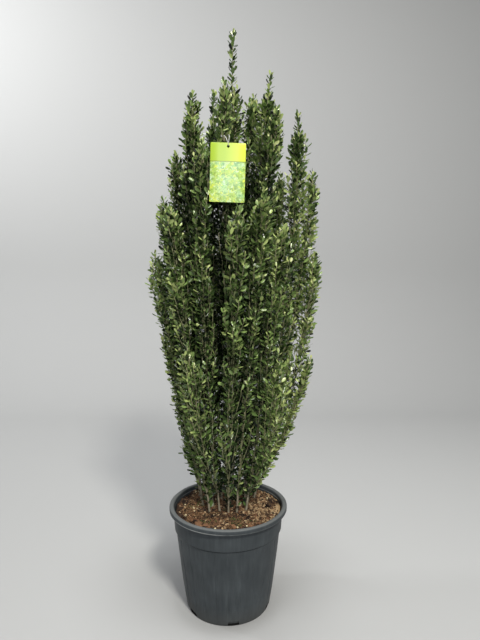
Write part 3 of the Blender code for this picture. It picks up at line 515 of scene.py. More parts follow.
def on_path(k, t):
    """The place on shoot k's centre line: (1 - t) foot + t tip + 4 t (1 - t) belly."""
    t = np.asarray(t, float)[..., None]
    return (1 - t) * feet[k] + t * tips[k] + 4 * t * (1 - t) * bellies[k]


def wood_radius(k, t):
    """A shoot's radius, which falls from its foot to its tip a little slower than in proportion."""
    return shoot_tip_radius + (thick[k] - shoot_tip_radius) * (1 - np.asarray(t, float)) ** 0.9


for k, (name, foot, tip, belly, share, reach, spire, radius) in enumerate(shoots):
    feet[k] = (foot[0] / 1000, foot[1] / 1000, mix_top + 0.0003)
    tips[k], bellies[k] = np.array(tip) / 1000, np.array(belly) / 1000
    bare[k], reaches[k], spires[k], thick[k] = share, reach / 1000, spire / 1000, radius / 1000
for k, (name, parent, fork, tip, belly, share, reach, spire) in enumerate(boughs, len(shoots)):
    feet[k] = on_path(names.index(parent), fork)
    thick[k] = wood_radius(names.index(parent), fork) * fork_share
    tips[k], bellies[k] = np.array(tip) / 1000, np.array(belly) / 1000
    bare[k], reaches[k], spires[k] = share, reach / 1000, spire / 1000
lengths = np.linalg.norm(tips - feet, axis=1)


wood_slim = 0.78  # of the solid's radius, which stands for the ridges' crests


def limb_mesh(k, t_from, t_to, ring_gap, sides):
    """A limb's tube between two shares of its path. Its line strays by up to a millimetre in slow waves, its
    radius has the root flare, swellings at old buds, and ridges that run up it."""
    rings = max(4, round((t_to - t_from) * lengths[k] / ring_gap))
    t = np.linspace(t_from, t_to, rings)
    high = t * lengths[k]
    stray = np.sin(high[:, None] * (62, 47, 0) + (k, 2 * k, 0)) * (0.0010, 0.0010, 0)
    stray = stray * (np.clip(high / 0.05, 0, 1) * np.clip((1 - t) * 6, 0, 1))[:, None]
    turn = math.tau * np.arange(sides)[None] / sides
    up = high[:, None]
    ridges = np.sin(3 * turn + 40 * up + k) + 0.7 * np.sin(5 * turn - 90 * up + 2 * k)
    buds = np.exp(-(((up + 0.006 * k) % 0.031 - 0.015) / 0.0028) ** 2) * (1 + np.cos(turn - 80 * up))
    lumps = np.sin(310 * up + 2 * turn + k) * np.sin(170 * up - turn)
    flare = 0.3 * np.exp(-up / 0.009) if k < len(shoots) else 0
    relief = 1 + flare + 0.05 * ridges + 0.09 * buds + 0.06 * lumps
    radius = wood_slim * wood_radius(k, t)[:, None] * relief
    return tubes((on_path(k, t) + stray)[None], radius[None], sides)


def joined(parts):
    """Several meshes as one."""
    shift = np.cumsum([0] + [len(points) for points, _ in parts[:-1]])
    faces = np.concatenate([faces + by for (_, faces), by in zip(parts, shift)])
    return np.concatenate([points for points, _ in parts]), faces


# Thin holly bark: dry, matt and finely cracked lengthwise, each crack 1 mm wide and 5 mm long, in patches of
# 11 mm. Old wood is grey-tan, and young wood green-brown.
bark_lots = (("old_bark", "#A69E88", "#6B6454", 0.85), ("young_bark", "#A5A27D", "#64664A", 0.7))
bark_finishes = {}
for name, light, dark, roughness in bark_lots:
    finish, tree, surface = new_finish(name, light, roughness, Specular_IOR_Level=0.35)
    place = add(tree, "TexCoord").outputs["Object"]
    stretched = add(tree, "Mapping", {"Vector": place, "Scale": (1, 1, 0.22)}).outputs["Vector"]
    cracks = add(tree, "TexNoise", {"Vector": stretched, "Scale": 900, "Detail": 4, "Roughness": 0.65})
    patches = add(tree, "TexNoise", {"Vector": place, "Scale": 90, "Detail": 2}).outputs["Fac"]
    both = add(tree, "Math", {0: cracks.outputs["Fac"], 1: patches}, operation="ADD").outputs[0]
    half = add(tree, "Math", {0: both, 1: 0.5}, operation="MULTIPLY").outputs[0]
    tone = add(tree, "ValToRGB", {"Fac": half}, stops=((0.38, dark), (0.6, light))).outputs["Color"]
    tree.links.new(tone, surface.inputs["Base Color"])
    bump = add(tree, "Bump", {"Height": cracks.outputs["Fac"], "Strength": 0.7, "Distance": 0.0012})
    tree.links.new(bump.outputs["Normal"], surface.inputs["Normal"])
    bark_finishes[name] = finish

sunk_share = 0.004  # of a stem, which stands in the mix
stem_parts = [limb_mesh(k, -sunk_share, bare[k], ring_gap=0.005, sides=10) for k in range(len(shoots))]
stem_nodes = ["stem_" + name for name in names[: len(shoots)]]
make_piece("stems", *joined(stem_parts), [bark_finishes["old_bark"]], "bark", stem_nodes)
forked = [k for k in range(len(shoots), count) if bare[k] > 0]
bough_parts = [limb_mesh(k, 0.0, bare[k], ring_gap=0.005, sides=10) for k in forked]
bough_nodes = ["bough_" + names[k] for k in forked]
make_piece("boughs", *joined(bough_parts), [bark_finishes["old_bark"]], "bark", bough_nodes)
shoot_parts = [limb_mesh(k, bare[k], 0.988, ring_gap=0.014, sides=6) for k in range(count)]
make_piece("leafy_shoots", *joined(shoot_parts), [bark_finishes["young_bark"]], "bark")

# ---- twigs and leaves ----
# Each shoot carries short twigs that leave it at a slant and then rise beside it, so that it stands as a
# narrow plume. Small, thick, glossy evergreen leaves are set closely round every twig by the golden angle
# and point up.

golden_angle = math.radians(137.5)
twig_gap = 0.0056
leaf_gap = 0.0037
leaf_long = 0.0150
leaf_wide = 0.0070
twig_lengths = (0.050, 0.125)
shortest_twig = 0.016
twig_radius = 0.00100
leaf_room = 0.007  # that a twig leaves free for its leaves within its shoot's space
space_margin = 0.0012  # that leaves and twigs keep from every bare limb
search_margin = 0.05  # within which a shoot looks for others
parting = 0.006  # how much nearer to its own shoot than to the next a leaf stands: a seam between plumes
rift_place, rift_foot, rift_high = -0.0195, 0.60, 0.35  # the rift's middle in X, its foot and its height
seated_bare = 0.08  # share that a shoot seated straight on a stem keeps bare
outer_loss = 0.72  # share of its leaves that a stem's outward side has lost right above the mix
low_share = 0.12  # of the bare wood, under which it has no twigs at all
# share of their leaves that the airy sprays on the right have kept
fullness = {"right_foot": 0.5, "low_right": 0.7, "right_low": 0.8, "right_outer": 0.85}
# the hang card and its tie, which the leaves keep clear of
card_hole = np.array((0.0015, -0.088, 1.0535))
card_roll = math.radians(-1.7)
card_wide, card_high, hole_drop = 0.0746, 0.123, 0.0074
card_out = np.array((0.0, -1.0, 0.0))
card_across = np.array((math.cos(card_roll), 0.0, math.sin(card_roll)))
card_up = np.array((-math.sin(card_roll), 0.0, math.cos(card_roll)))
tie_share, tie_radius, tie_half = 0.86, 0.0007, 0.006  # place on the shoot, half its thread and its loop
tie_room = 0.0065


def heading(k, t):
    """The way that shoot k's line runs at these shares."""
    t = np.asarray(t, float)[..., None]
    way = tips[k] - feet[k] + 4 * (1 - 2 * t) * bellies[k]
    return way / np.linalg.norm(way, axis=-1, keepdims=True)


def space_radius(k, t):
    """How far from its line a shoot's leaves may stand: half its reach at the first leaf, all of it from
    110 mm further up, and 12 mm along the spire at its tip, which is as blunt as a square root. Under the
    spire it widens as the distance to the power 0.7."""
    above = (np.asarray(t, float) - bare[k]) * lengths[k]
    below = np.maximum((1 - np.asarray(t, float)) * lengths[k], 0)
    from_foot = reaches[k] * np.clip(0.5 + 0.5 * above / 0.110, 0.42, 1)
    slim = 0.012 * np.minimum(1, (below + 0.004) / 0.020) ** 0.5
    shoulder = np.clip((below - spires[k]) / 0.060, 0, 1) ** 0.7
    return slim + np.maximum(from_foot - slim, 0) * shoulder


def to_line(points, line):
    """From each point to the nearest of the line's segments."""
    start, step = line[:-1][None], (line[1:] - line[:-1])[None]
    offset = points[:, None] - start
    share = np.clip((offset * step).sum(2) / (step * step).sum(2), 0, 1)
    return np.linalg.norm(offset - share[..., None] * step, axis=2).min(1)


carrier = names.index("inner_front")
tie_low = card_hole + (0, 0, 0.0015)
tie_bend = np.array((tie_low[0], tie_low[1], on_path(carrier, tie_share)[2]))
tie_back = on_path(carrier, tie_share) - tie_bend
tie_back /= np.linalg.norm(tie_back)
tie_high = on_path(carrier, tie_share) + tie_back * (wood_radius(carrier, tie_share) + tie_radius + 0.0006)


def tie_line(share):
    """The middle line of the tie: straight up from the card's hole, then bending back round the shoot."""
    share = np.asarray(share, float)[..., None]
    low = tie_low + (tie_bend - tie_low) * share
    return low + (tie_bend + (tie_high - tie_bend) * share - low) * share


leafy_lines = [on_path(k, np.linspace(low_share * bare[k], 1, 11)) for k in range(count)]
bare_lines = [on_path(k, np.linspace(0, bare[k], 5)) if bare[k] else None for k in range(count)]
tie_points = tie_line(np.linspace(0, 1, 9))


def to_neighbour(points, k):
    """How much nearer, less its reach, each point is to shoot k's leafy line than to any other's: none or
    less outside the shoot's own space, and 0.1 m where no other stands near."""
    mine = to_line(points, leafy_lines[k]) - reaches[k]
    low, high = points.min(0) - search_margin, points.max(0) + search_margin
    nearer = np.full(len(points), 0.1)
    for other in range(count):
        line = leafy_lines[other]
        beside = (line.max(0) + reaches[other] > low) & (line.min(0) - reaches[other] < high)
        if other != k and beside.all():
            nearer = np.minimum(nearer, to_line(points, line) - reaches[other] - mine)
    return nearer


def in_own_space(points, k):
    """True for the points that are in shoot k's own space, clear of every bare limb, out of the open rift
    that parts the left sprays from the middle ones, and clear of the card, all that lies before it, and its
    tie. The rift widens from 8 mm at its foot to 24 mm, and goes deeper near its top."""
    free = to_neighbour(points, k) >= parting * np.clip((points[:, 2] - mix_top) / 0.25, 0.15, 1)
    up = (points[:, 2] - rift_foot) / rift_high
    in_rift = np.abs(points[:, 0] - rift_place) < 0.004 + 0.008 * up
    in_rift &= points[:, 1] < np.where(up > 0.88, 0.0, -0.05)
    free &= ~(in_rift & (up > 0) & (up < 1))
    low, high = points.min(0) - search_margin, points.max(0) + search_margin
    for other in range(count):
        line = bare_lines[other]
        if line is not None and ((line.max(0) > low) & (line.min(0) < high)).all():
            free &= to_line(points, line) > thick[other] + space_margin
    local = points - card_hole
    margin = 0.002
    beside = np.abs(local @ card_across) > card_wide / 2 + margin
    past = (local @ card_up < hole_drop - card_high - margin) | (local @ card_up > hole_drop + margin)
    free &= beside | past | (local @ card_out < -2 * margin)
    return free & (to_line(points, tie_points) > tie_room)


def leaf_axes(axes, around, lean):
    """A leaf's own axes: along it, leaning from the twig; the face that it turns up to the light; and across
    it. The last value is the way that points straight out from the twig."""
    lying = (1.0, 0.0, 0.0)
    side = lying - (axes * lying).sum(-1, keepdims=True) * axes
    side /= np.linalg.norm(side, axis=-1, keepdims=True)
    over = np.cross(axes, side)
    radial = np.cos(around)[..., None] * side + np.sin(around)[..., None] * over
    along = np.cos(lean)[..., None] * axes + np.sin(lean)[..., None] * radial
    face = np.sin(lean)[..., None] * axes - np.cos(lean)[..., None] * radial
    return along, face, np.cross(along, face), radial


def grow(k):
    """Shoot k's twigs and leaves. A twig starts every few millimetres up the shoot, a golden angle on from
    the last, and stands off by a share of the space's radius times 1 - (1 - s)^1.8 as it rises; it ends under
    the shoot's bare spire. One in ten is missing on the wood below the leafy part. A leaf sits every few
    millimetres along a twig in the same spiral, and closer on the shoot itself. What leaves the shoot's own
    space is dropped."""
    chance = np.random.default_rng(100 + k)
    start = max(bare[k], seated_bare)
    lowest = low_share * start
    total = round((1 - lowest) * lengths[k] / twig_gap)
    foot = lowest + (1 - lowest) * (np.arange(total) + 0.5) / total
    around = golden_angle * np.arange(total) + chance.normal(0, 0.25, total)
    left = (1 - foot) * lengths[k] - spires[k] - chance.uniform(0.003, 0.036, total)
    long = np.minimum(chance.uniform(*twig_lengths, total), left)
    stand = np.sqrt(chance.uniform(0.06, 1.0, total))
    vigour = chance.uniform(0, 1, total)
    rising = (long > shortest_twig) & ((foot > start) | (chance.uniform(0, 1, total) < 0.9))
    foot, around, long, stand, vigour = (value[rising] for value in (foot, around, long, stand, vigour))

    def twig_point(s, pick=slice(None)):
        """The twig's centre at share s of its length. It sways by a slow sine to either side."""
        t = foot[pick, None] + s * long[pick, None] / lengths[k]
        axes = heading(k, t)
        room = np.maximum(space_radius(k, t) - leaf_room, 0.003)
        off = stand[pick, None] * room * (1 - (1 - s) ** 1.8)
        _, _, _, radial = leaf_axes(axes, np.broadcast_to(around[pick, None], t.shape), np.zeros_like(t))
        sway = 0.0012 * np.sin(60 * s * long[pick, None] * 2 + around[pick, None] * 3)
        return on_path(k, t) + radial * off[..., None] + np.cross(axes, radial) * sway[..., None]

    s = np.linspace(0, 1, 6)[None] * np.ones((len(foot), 1))
    lines = twig_point(s)
    free = in_own_space(lines[:, -1], k) & in_own_space(lines[:, 3], k)
    pick = np.flatnonzero(free)
    lines = lines[pick]
    radii = twig_radius * (1 - 0.55 * s[pick]) * (1 + 0.3 * vigour[pick, None])
    twig_mesh = tubes(lines, radii, sides=3) if len(pick) else None

    # leaves along every twig, which start after its bare foot and shrink towards its tip
    most = int(0.13 / leaf_gap) + 1
    order = np.arange(most)[None] * np.ones((len(pick), 1))
    gap = leaf_gap / long[pick, None]
    s = 0.06 + 0.34 * chance.uniform(0, 1, (len(pick), 1)) ** 2 + order * gap
    on = s <= 1.001
    centre = twig_point(np.minimum(s, 1.0), pick)
    ahead = twig_point(np.minimum(s, 1.0) + 0.02, pick) - twig_point(np.minimum(s, 1.0) - 0.02, pick)
    ahead /= np.linalg.norm(ahead, axis=-1, keepdims=True)
    to_tip = np.maximum(1 - s, 0) * long[pick, None]
    turn = golden_angle * order + around[pick, None] * 5 + chance.normal(0, 0.35, s.shape)
    lean = np.radians(24 + 26 * np.clip(to_tip / 0.022, 0, 1)) + chance.normal(0, 0.17, s.shape)
    size = (0.66 + 0.34 * np.clip(to_tip / 0.014, 0, 1)) * chance.uniform(0.78, 1.18, s.shape)
    spray = np.broadcast_to(vigour[pick, None], s.shape)
    depth = np.broadcast_to(stand[pick, None], s.shape)
    share = foot[pick, None] + s * long[pick, None] / lengths[k]
    young = to_tip < 0.009

    # leaves on the shoot itself, which stand closer
    own_gap = leaf_gap * 0.62
    up = np.arange(lowest, 1, own_gap / lengths[k])
    up = up[(1 - up) * lengths[k] > 0.003]
    own_tip = (1 - up) * lengths[k]
    own_turn = golden_angle * np.arange(len(up)) + chance.normal(0, 0.3, len(up))
    own_lean = np.radians(24 + 20 * np.clip(own_tip / 0.03, 0, 1)) + chance.normal(0, 0.14, len(up))
    own_size = (0.70 + 0.30 * np.clip(own_tip / 0.02, 0, 1)) * chance.uniform(0.84, 1.12, len(up))
    # the shoot itself keeps its leaves where it is slender, and few where its twigs hide it
    slender = (space_radius(k, up) < 0.020) & (up > start)
    own_share = np.where(up < start, 0.42, np.where(up < 0.5, 0.10, 0.22))
    own_kept = slender | (chance.uniform(0, 1, len(up)) < own_share)

    def both(from_twigs, from_shoot):
        return np.concatenate([from_twigs[on], from_shoot[own_kept]])

    roots = both(centre, on_path(k, up))
    axes = both(ahead, heading(k, up))
    turn, lean, size = both(turn, own_turn), both(lean, own_lean), both(size, own_size)
    spray = both(spray, np.full(len(up), 0.45))
    depth = both(depth, np.clip(1.15 - space_radius(k, up) / 0.03, 0.2, 1))
    share = both(share, up)
    young = both(young, own_tip < 0.010)
    along, face, across, radial = leaf_axes(axes, turn, lean)
    roots = roots + radial * 0.0008
    ends = roots + along * (leaf_long * size)[:, None]
    kept = in_own_space(ends, k) & in_own_space(roots + (ends - roots) * 0.5, k)
    share = np.minimum(share + np.cos(lean) * leaf_long * size / lengths[k], 1)
    kept &= np.linalg.norm(ends - on_path(k, share), axis=1) < 1.15 * space_radius(k, share) + 0.003
    # the lower half has shed one leaf in twelve, and the last 60 mm above the mix up to a quarter of the rest
    high = ends[:, 2] - mix_top
    leafy = np.maximum(0.92 + 0.08 * np.clip((share - 0.25) / 0.3, 0, 1), 0.95 * (high < 0.18))
    leafy = leafy * np.clip((high + 0.16) / 0.22, 0, 1)
    # low down a stem is barer where it faces out, and its bark shows before the leaves of those behind it
    core = on_path(k, share)[:, :2]
    aside = ends[:, :2] - core
    facing = (aside * core).sum(1) / (np.linalg.norm(aside, axis=1) * np.linalg.norm(core, axis=1))
    leafy = leafy * (1 - outer_loss * np.clip(1.6 * facing, 0, 1) * np.clip(1 - high / 0.42, 0, 1))
    kept &= chance.uniform(0, 1, len(ends)) < leafy * fullness.get(names[k], 1.0)
    kept &= ends[:, 2] > mix_top + 0.005
    # how open the air round a leaf is, which later paints it lighter as painted light
    airy = np.clip(to_neighbour(ends, k) / 0.030, 0, 1)
    data = [roots, along, face, across, size, spray, depth, young, airy]
    data = [value[kept] for value in data]
    # the last leaf stands straight on the shoot's tip
    way = heading(k, 1.0)
    side = np.cross(way, (1.0, 0.0, 0.0))
    side /= np.linalg.norm(side)
    last = [tips[k] - way * leaf_long * 0.8, way, side, np.cross(way, side), 0.8, 0.6, 1.0, True, 1.0]
    return twig_mesh, [np.concatenate([value, np.array(extra)[None]]) for value, extra in zip(data, last)]


grown = [grow(k) for k in range(count)]
twig_meshes = [mesh for mesh, _ in grown if mesh is not None]
roots, along, face, across, size, spray, depth, young, airy = (
    np.concatenate([leaves[part] for _, leaves in grown]) for part in range(9)
)
make_piece("twigs", *joined(twig_meshes), [bark_finishes["young_bark"]], "bark")

# the right half of a leaf, in shares of its width and length from the stalk
half_outline = [(0.27, 0.20), (0.46, 0.50), (0.41, 0.83)]
leaf_outline = np.array([(0, 0), *half_outline, (0, 1), *[(-x, y) for x, y in half_outline[::-1]]])
leaf_corners = len(leaf_outline)
leaf_faces = np.array([(leaf_corners, k, (k + 1) % leaf_corners) for k in range(leaf_corners)])


def leaf_mesh(chosen, chance):
    """The chosen leaves: an obovate outline round a middle point. A point x across and y along drops by
    arch |2x|^1.5 and by curl y^2, each leaf has its own arch and curl, and it is rolled about its midrib."""
    total = int(chosen.sum())
    flat = np.concatenate([leaf_outline, [(0, 0.55)]])
    arch = chance.uniform(0.02, 0.16, (total, 1))
    curl = chance.normal(0.05, 0.07, (total, 1))
    lift = -arch * (np.abs(flat[:, 0]) * 2) ** 1.5 * leaf_wide / leaf_long * 2 - curl * flat[:, 1] ** 2
    long = (leaf_long * size[chosen])[:, None]
    wide = long * leaf_wide / leaf_long * chance.uniform(0.88, 1.12, (total, 1))
    roll = chance.normal(0, 0.50, total)[:, None]
    over = np.cos(roll) * face[chosen] + np.sin(roll) * across[chosen]
    aside = np.cos(roll) * across[chosen] - np.sin(roll) * face[chosen]
    points = roots[chosen][:, None]
    points = points + (wide * flat[:, 0])[..., None] * aside[:, None]
    points = points + (long * flat[:, 1])[..., None] * along[chosen][:, None]
    points = points + (long * lift)[..., None] * over[:, None]
    every = leaf_faces[None] + np.arange(total)[:, None, None] * len(flat)
    return points.reshape(-1, 3), every.reshape(-1, 3)


# Holly leaves are thick and waxy: a dark, slightly blue green with a clear shine on old wood, paler and
# yellower on each season's growth. A leaf is paler the more vigour its spray has, painted lighter the further
# out and more openly it stands and painted darker deep in the crown, as light and shade; the newest leaves,
# at the tips, are one step paler still.
leaf_shades = (
    ("leaves_oldest_in_deep_shade", "#131D10", 0.26),
    ("leaves_old_in_shade", "#2D3D20", 0.23),
    ("leaves_grown_half_lit", "#546A39", 0.21),
    ("leaves_fresh_lit", "#7C9454", 0.22),
    ("leaves_young_well_lit", "#A3B36D", 0.25),
    ("leaves_newest_brightest_lit", "#B7C07E", 0.30),
)
shade_chance = np.random.default_rng(5)
# painted shade: leaves near the crown's middle are painted darker, and above the last height every leaf is
# near the outside
crown_heights = (0.23, 0.35, 0.60, 0.80, 0.95, 1.05)
crown_reaches = (0.090, 0.120, 0.165, 0.175, 0.165, 0.150)
to_edge = np.hypot(roots[:, 0], roots[:, 1] * 1.12) / np.interp(roots[:, 2], crown_heights, crown_reaches)
outer = np.where(roots[:, 2] > crown_heights[-1], 0.88, np.minimum(to_edge, 1.0))
# painted light and shade: a paler shade the further a leaf stands from its shoot, the more open the air round
# it and the nearer the crown's outside
light = 0.34 * spray + 0.34 * depth + 0.42 * airy + shade_chance.normal(0, 0.22, len(spray)) - 0.29
light += 0.75 * (outer - 0.82)
shade_steps = len(leaf_shades) - 1
shade = np.clip(np.floor(light * shade_steps), 0, shade_steps - 1).astype(int) + (young > 0)
most_leaves = 32000  # in one piece
leaf_piece_nodes = ["foliage_" + name for name in names]
for step, (name, colour, roughness) in enumerate(leaf_shades):
    # the blade's fine puckering is under 1 mm and is drawn at 2 mm, so that the shine breaks up
    grain = {"scale": 500, "strength": 0.35, "deep": 0.0008, "detail": 1}
    finish = grained_finish(
        name + "_finish", colour, roughness, **grain, IOR=1.46, Specular_IOR_Level=0.52
    )
    picked = np.flatnonzero(shade == step)
    for lot in range(math.ceil(len(picked) / most_leaves)):
        chosen = np.zeros(len(roots), bool)
        chosen[picked[lot * most_leaves : (lot + 1) * most_leaves]] = True
        nodes = leaf_piece_nodes if step == lot == 0 else []
        make_piece(f"{name}_{lot + 1}", *leaf_mesh(chosen, shade_chance), [finish], "foliage", nodes)

# ---- label ----
# A hang card, cut from printed plastic sheet with round corners and a punched hole: a plain yellow-green band
# over a thin rule, and a field of small pale leaf flecks below. It hangs on a loop of clear plastic thread.


def card_surface():
    """A closed sheet: loops round the hole that run from it at the back out to the outline, a rectangle with
    round corners, over its edge, and in front back to the hole. It is bowed across as a parabola."""
    corner, half_thick, hole, bow_deep = 0.0025, 0.0003, 0.003, 0.0010
    middle = hole_drop - card_high / 2
    outline = []
    for quarter, (right, high) in enumerate(((1, 1), (-1, 1), (-1, -1), (1, -1))):
        bend = math.pi / 2 * (quarter + np.linspace(0, 1, 7))
        centre = np.array((right * (card_wide / 2 - corner), middle + high * (card_high / 2 - corner)))
        outline.append(centre + corner * np.stack([np.cos(bend), np.sin(bend)], 1))
        ahead = outline[-1][-1]
        side = ((-1, 0), (0, -1), (1, 0), (0, 1))[quarter]
        run = (card_wide if quarter % 2 == 0 else card_high) - 2 * corner
        outline.append(ahead + np.linspace(0.06, 0.94, 14)[:, None] * run * np.array(side))
    outline = np.concatenate(outline)
    turn = np.arctan2(outline[:, 1], outline[:, 0])
    ring = hole * np.stack([np.cos(turn), np.sin(turn)], 1)
    # share of the way from the hole to the outline, and the side: -1 behind, 1 in front
    loops = ((0, -1), (0.15, -1), (0.5, -1), (0.99, -1), (1, -0.5), (1, 0.5), (0.99, 1))
    rows = []
    for share, out in (*loops, (0.5, 1), (0.15, 1), (0, 1), (0, -1)):
        flat = ring + (outline - ring) * share
        bow = bow_deep * (1 - (flat[:, 0] / (card_wide / 2)) ** 2)
        place = card_hole + flat[:, :1] * card_across + flat[:, 1:] * card_up
        rows.append(place + (out * half_thick + bow)[:, None] * card_out)
    points = np.array(rows)
    return points.reshape(-1, 3), grid_faces(len(rows), len(outline))


# Printed polypropylene sheet: bright inks under a light gloss. The flecks are 3 to 6 mm across, the washes
# over them 24 mm, and the rule is 1.4 mm high.
band_foot, rule_middle, rule_half = -0.0310, -0.0316, 0.0007  # up from the hole's middle
card_finish, tree, surface = new_finish("printed_plastic_sheet", "#E4F06A", 0.35, IOR=1.49)
place = add(tree, "TexCoord").outputs["Object"]
shift = tuple((-card_hole).tolist())
turned = {"Vector": place, "Location": shift, "Rotation": (0, card_roll, 0)}
local = add(tree, "Mapping", turned).outputs["Vector"]
parts = add(tree, "SeparateXYZ", {"Vector": local})
level = parts.outputs["Z"]
band_share = add(tree, "MapRange", {"Value": parts.outputs["X"], 1: -0.038, 2: 0.038}).outputs["Result"]
band_inks = ((0.0, "#ABC93C"), (1.0, "#E5EE4B"), (0.45, "#D2E144"))
band = add(tree, "ValToRGB", {"Fac": band_share}, stops=band_inks).outputs["Color"]
leafy = add(tree, "TexNoise", {"Vector": local, "Scale": 150, "Detail": 2}).outputs["Color"]
bent = add(tree, "Mix", {0: 0.012, 6: local, 7: leafy}, data_type="RGBA").outputs[2]
fleck = add(tree, "TexVoronoi", {"Vector": bent, "Scale": 230}, feature="F1")
tint = add(tree, "SeparateColor", {"Color": fleck.outputs["Color"]}).outputs["Red"]
inks = ((0.0, "#5F9441"), (1.0, "#F4F9E0"), (0.22, "#94C961"), (0.45, "#BDE283"))
inks += ((0.62, "#DCEA55"), (0.82, "#CFEDBE"))
field = add(tree, "ValToRGB", {"Fac": tint}, stops=inks)
field.color_ramp.interpolation = "CONSTANT"
field = field.outputs["Color"]
away = fleck.outputs["Distance"]
edge = add(tree, "MapRange", {"Value": away, 1: 0.35, 2: 0.75, 3: 0.0, 4: 0.5}).outputs["Result"]
shaded = add(tree, "Mix", {0: edge, 6: field, 7: linear("#8DB45C")}, data_type="RGBA").outputs[2]
# broad washes of yellow and of mint lie over the flecks, with a few dark strokes between
wash = add(tree, "TexNoise", {"Vector": local, "Scale": 42, "Detail": 1}).outputs["Fac"]
washes = ((0.38, "#ECEE4E"), (0.68, "#B9E6BE"), (0.5, "#C9E07C"), (0.6, "#DDF2DA"))
wash_ink = add(tree, "ValToRGB", {"Fac": wash}, stops=washes).outputs["Color"]
washed = add(tree, "Mix", {0: 0.26, 6: shaded, 7: wash_ink}, data_type="RGBA").outputs[2]
stroke = add(tree, "TexVoronoi", {"Vector": bent, "Scale": 310}, feature="DISTANCE_TO_EDGE")
stroke = stroke.outputs["Distance"]
dark_share = add(tree, "MapRange", {"Value": stroke, 1: 0.02, 2: 0.10, 3: 0.55, 4: 0.0}).outputs["Result"]
inked = add(tree, "Mix", {0: dark_share, 6: washed, 7: linear("#6C9A4E")}, data_type="RGBA").outputs[2]
over_rule = add(tree, "Math", {0: level, 1: band_foot}, operation="GREATER_THAN").outputs[0]
print_face = add(tree, "Mix", {0: over_rule, 6: inked, 7: band}, data_type="RGBA").outputs[2]
from_rule = add(tree, "Math", {0: level, 1: -rule_middle}, operation="ADD").outputs[0]
off = add(tree, "Math", {0: from_rule}, operation="ABSOLUTE").outputs[0]
on_rule = add(tree, "Math", {0: off, 1: rule_half}, operation="LESS_THAN").outputs[0]
ruled = add(tree, "Mix", {0: on_rule, 6: print_face, 7: linear("#7C8A3A")}, data_type="RGBA").outputs[2]
tree.links.new(ruled, surface.inputs["Base Color"])
make_piece("hang_card", *welded(*card_surface()), [card_finish], "label", ["label"], sharp=40)


def tie_loop():
    """The thread's closed loop: to both sides of the tie's middle line by w sqrt(sin a), the side turning
    from front-and-back to left-and-right as it climbs, so that it passes round the shoot."""
    a = np.linspace(0, math.tau, 72, endpoint=False)
    share = (1 - np.cos(a)) / 2
    front, level = np.array((0.0, -1.0, 0.0)), np.array((1.0, 0.0, 0.0))
    side = np.cos(share * math.pi / 2)[:, None] * front + np.sin(share * math.pi / 2)[:, None] * level
    wide = np.sign(np.sin(a)) * np.sqrt(np.abs(np.sin(a))) * tie_half
    return tie_line(share) + side * wide[:, None]


# Clear nylon thread: pale, round and smooth, with a haze that comes and goes every 5 mm.
thread_sides = 7
tie_finish, tree, surface = new_finish("nylon_thread", "#C9CBC4", 0.3, IOR=1.53)
place = add(tree, "TexCoord").outputs["Object"]
haze = add(tree, "TexNoise", {"Vector": place, "Scale": 220}).outputs["Fac"]
tone = add(tree, "ValToRGB", {"Fac": haze}, stops=((0.3, "#A9ACA4"), (0.7, "#E2E3DD"))).outputs["Color"]
tree.links.new(tone, surface.inputs["Base Color"])
loop = tie_loop()
ahead = np.roll(loop, -1, 0) - np.roll(loop, 1, 0)
ahead /= np.linalg.norm(ahead, axis=1, keepdims=True)
lying = np.cross(ahead, np.array((0.2, 0.5, 0.1)))
lying /= np.linalg.norm(lying, axis=1, keepdims=True)
turn = math.tau * np.arange(thread_sides) / thread_sides
ring = np.cos(turn)[:, None] * lying[:, None] + np.sin(turn)[:, None] * np.cross(ahead, lying)[:, None]
points = loop[:, None] + tie_radius * ring
points = np.concatenate([points, points[:1]])
faces = grid_faces(len(points), thread_sides)
make_piece("card_thread", *welded(points.reshape(-1, 3), faces), [tie_finish], "label_tie", ["label_tie"])

# ---- room ----
# A plain pale sweep, floor and wall in one, with soft lights: the key before and above on the right, a weaker
# fill low in front, one overhead and one on the wall at the left, and an even pale surround.

sweep_half = 14.0
bend_from, bend_radius, wall_high = 1.6, 0.9, 6.0
bend = np.linspace(0.05, 1, 20) * math.pi / 2
floor_run, wall_rise = np.linspace(-sweep_half, bend_from, 30), np.linspace(1.0, wall_high, 10)
wall_run = np.full(len(wall_rise), bend_from + bend_radius)
run = np.concatenate([floor_run, bend_from + bend_radius * np.sin(bend), wall_run])
rise = np.concatenate([np.zeros(len(floor_run)), bend_radius * (1 - np.cos(bend)), wall_rise])
across_floor = np.array((-sweep_half, sweep_half))
points = np.stack(np.broadcast_arrays(across_floor[None], run[:, None], rise[:, None]), -1)
faces = [(2 * r, 2 * r + 1, 2 * r + 3, 2 * r + 2) for r in range(len(run) - 1)]
sweep_mesh = bpy.data.meshes.new("sweep")
sweep_mesh.from_pydata(points.reshape(-1, 3).tolist(), [], faces)
sweep_mesh.shade_smooth()
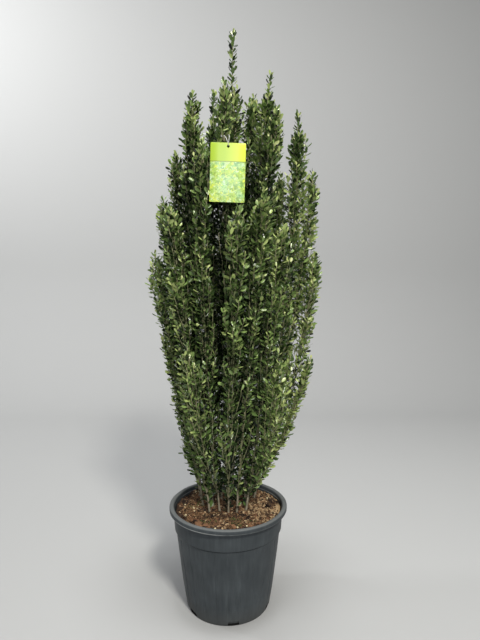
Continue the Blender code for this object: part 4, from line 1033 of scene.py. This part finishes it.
# Studio paper: uncoated and pale grey, so that it takes soft shadows and gives no shine.
sweep_finish, tree, surface = new_finish("pale_paper", "#B6B7B7", 0.9, Specular_IOR_Level=0.1)
sweep_mesh.materials.append(sweep_finish)
sweep = bpy.data.objects.new("sweep", sweep_mesh)
bpy.context.scene.collection.objects.link(sweep)

# name, place, where it points, width and height, power in watts, colour
lamps = (
    ("key", (0.8, -2.4, 3.0), (0, 0, 0.7), (0.5, 0.5), 98, "#FFFBF2"),
    ("fill", (0.0, -2.8, 1.5), (0, 0, 0.5), (0.5, 0.5), 22, "#FAFBFF"),
    ("top", (0.1, -0.2, 3.3), (0, 0, 0.6), (0.8, 0.8), 50, "#FFFFFF"),
    ("wall", (-2.4, 0.6, 2.8), (-1.5, 2.5, 2.4), (1.0, 1.0), 64, "#FFFFFF"),
)
for name, spot, aim, (wide, high), power, colour in lamps:
    lamp = bpy.data.lights.new(name, "AREA")
    lamp.shape = "RECTANGLE"
    lamp.size, lamp.size_y, lamp.energy = wide, high, power
    lamp.color = linear(colour)[:3]
    holder = bpy.data.objects.new(name, lamp)
    way = np.array(aim, float) - np.array(spot, float)
    flat = math.hypot(way[0], way[1])
    holder.location = spot
    holder.rotation_euler = (math.pi / 2 + math.atan2(way[2], flat), 0, math.atan2(-way[0], way[1]))
    bpy.context.scene.collection.objects.link(holder)
world = bpy.data.worlds.new("surround")
world.use_nodes = True
world.node_tree.nodes["Background"].inputs["Color"].default_value = linear("#E6EAEE")
world.node_tree.nodes["Background"].inputs["Strength"].default_value = 0.2
bpy.context.scene.world = world
bpy.context.scene.view_settings.view_transform = "Standard"

# 1.1 m before the plant, at the height of the crown's middle, tipped down a little
lens = bpy.data.cameras.new("camera")
lens.lens = 27.34
lens.sensor_width = 36
camera = bpy.data.objects.new("camera", lens)
camera.location = (0, -1.134, 0.7664)
camera.rotation_euler = (math.radians(90 - 4.30), 0, math.radians(-1.43))
bpy.context.scene.collection.objects.link(camera)
bpy.context.scene.camera = camera
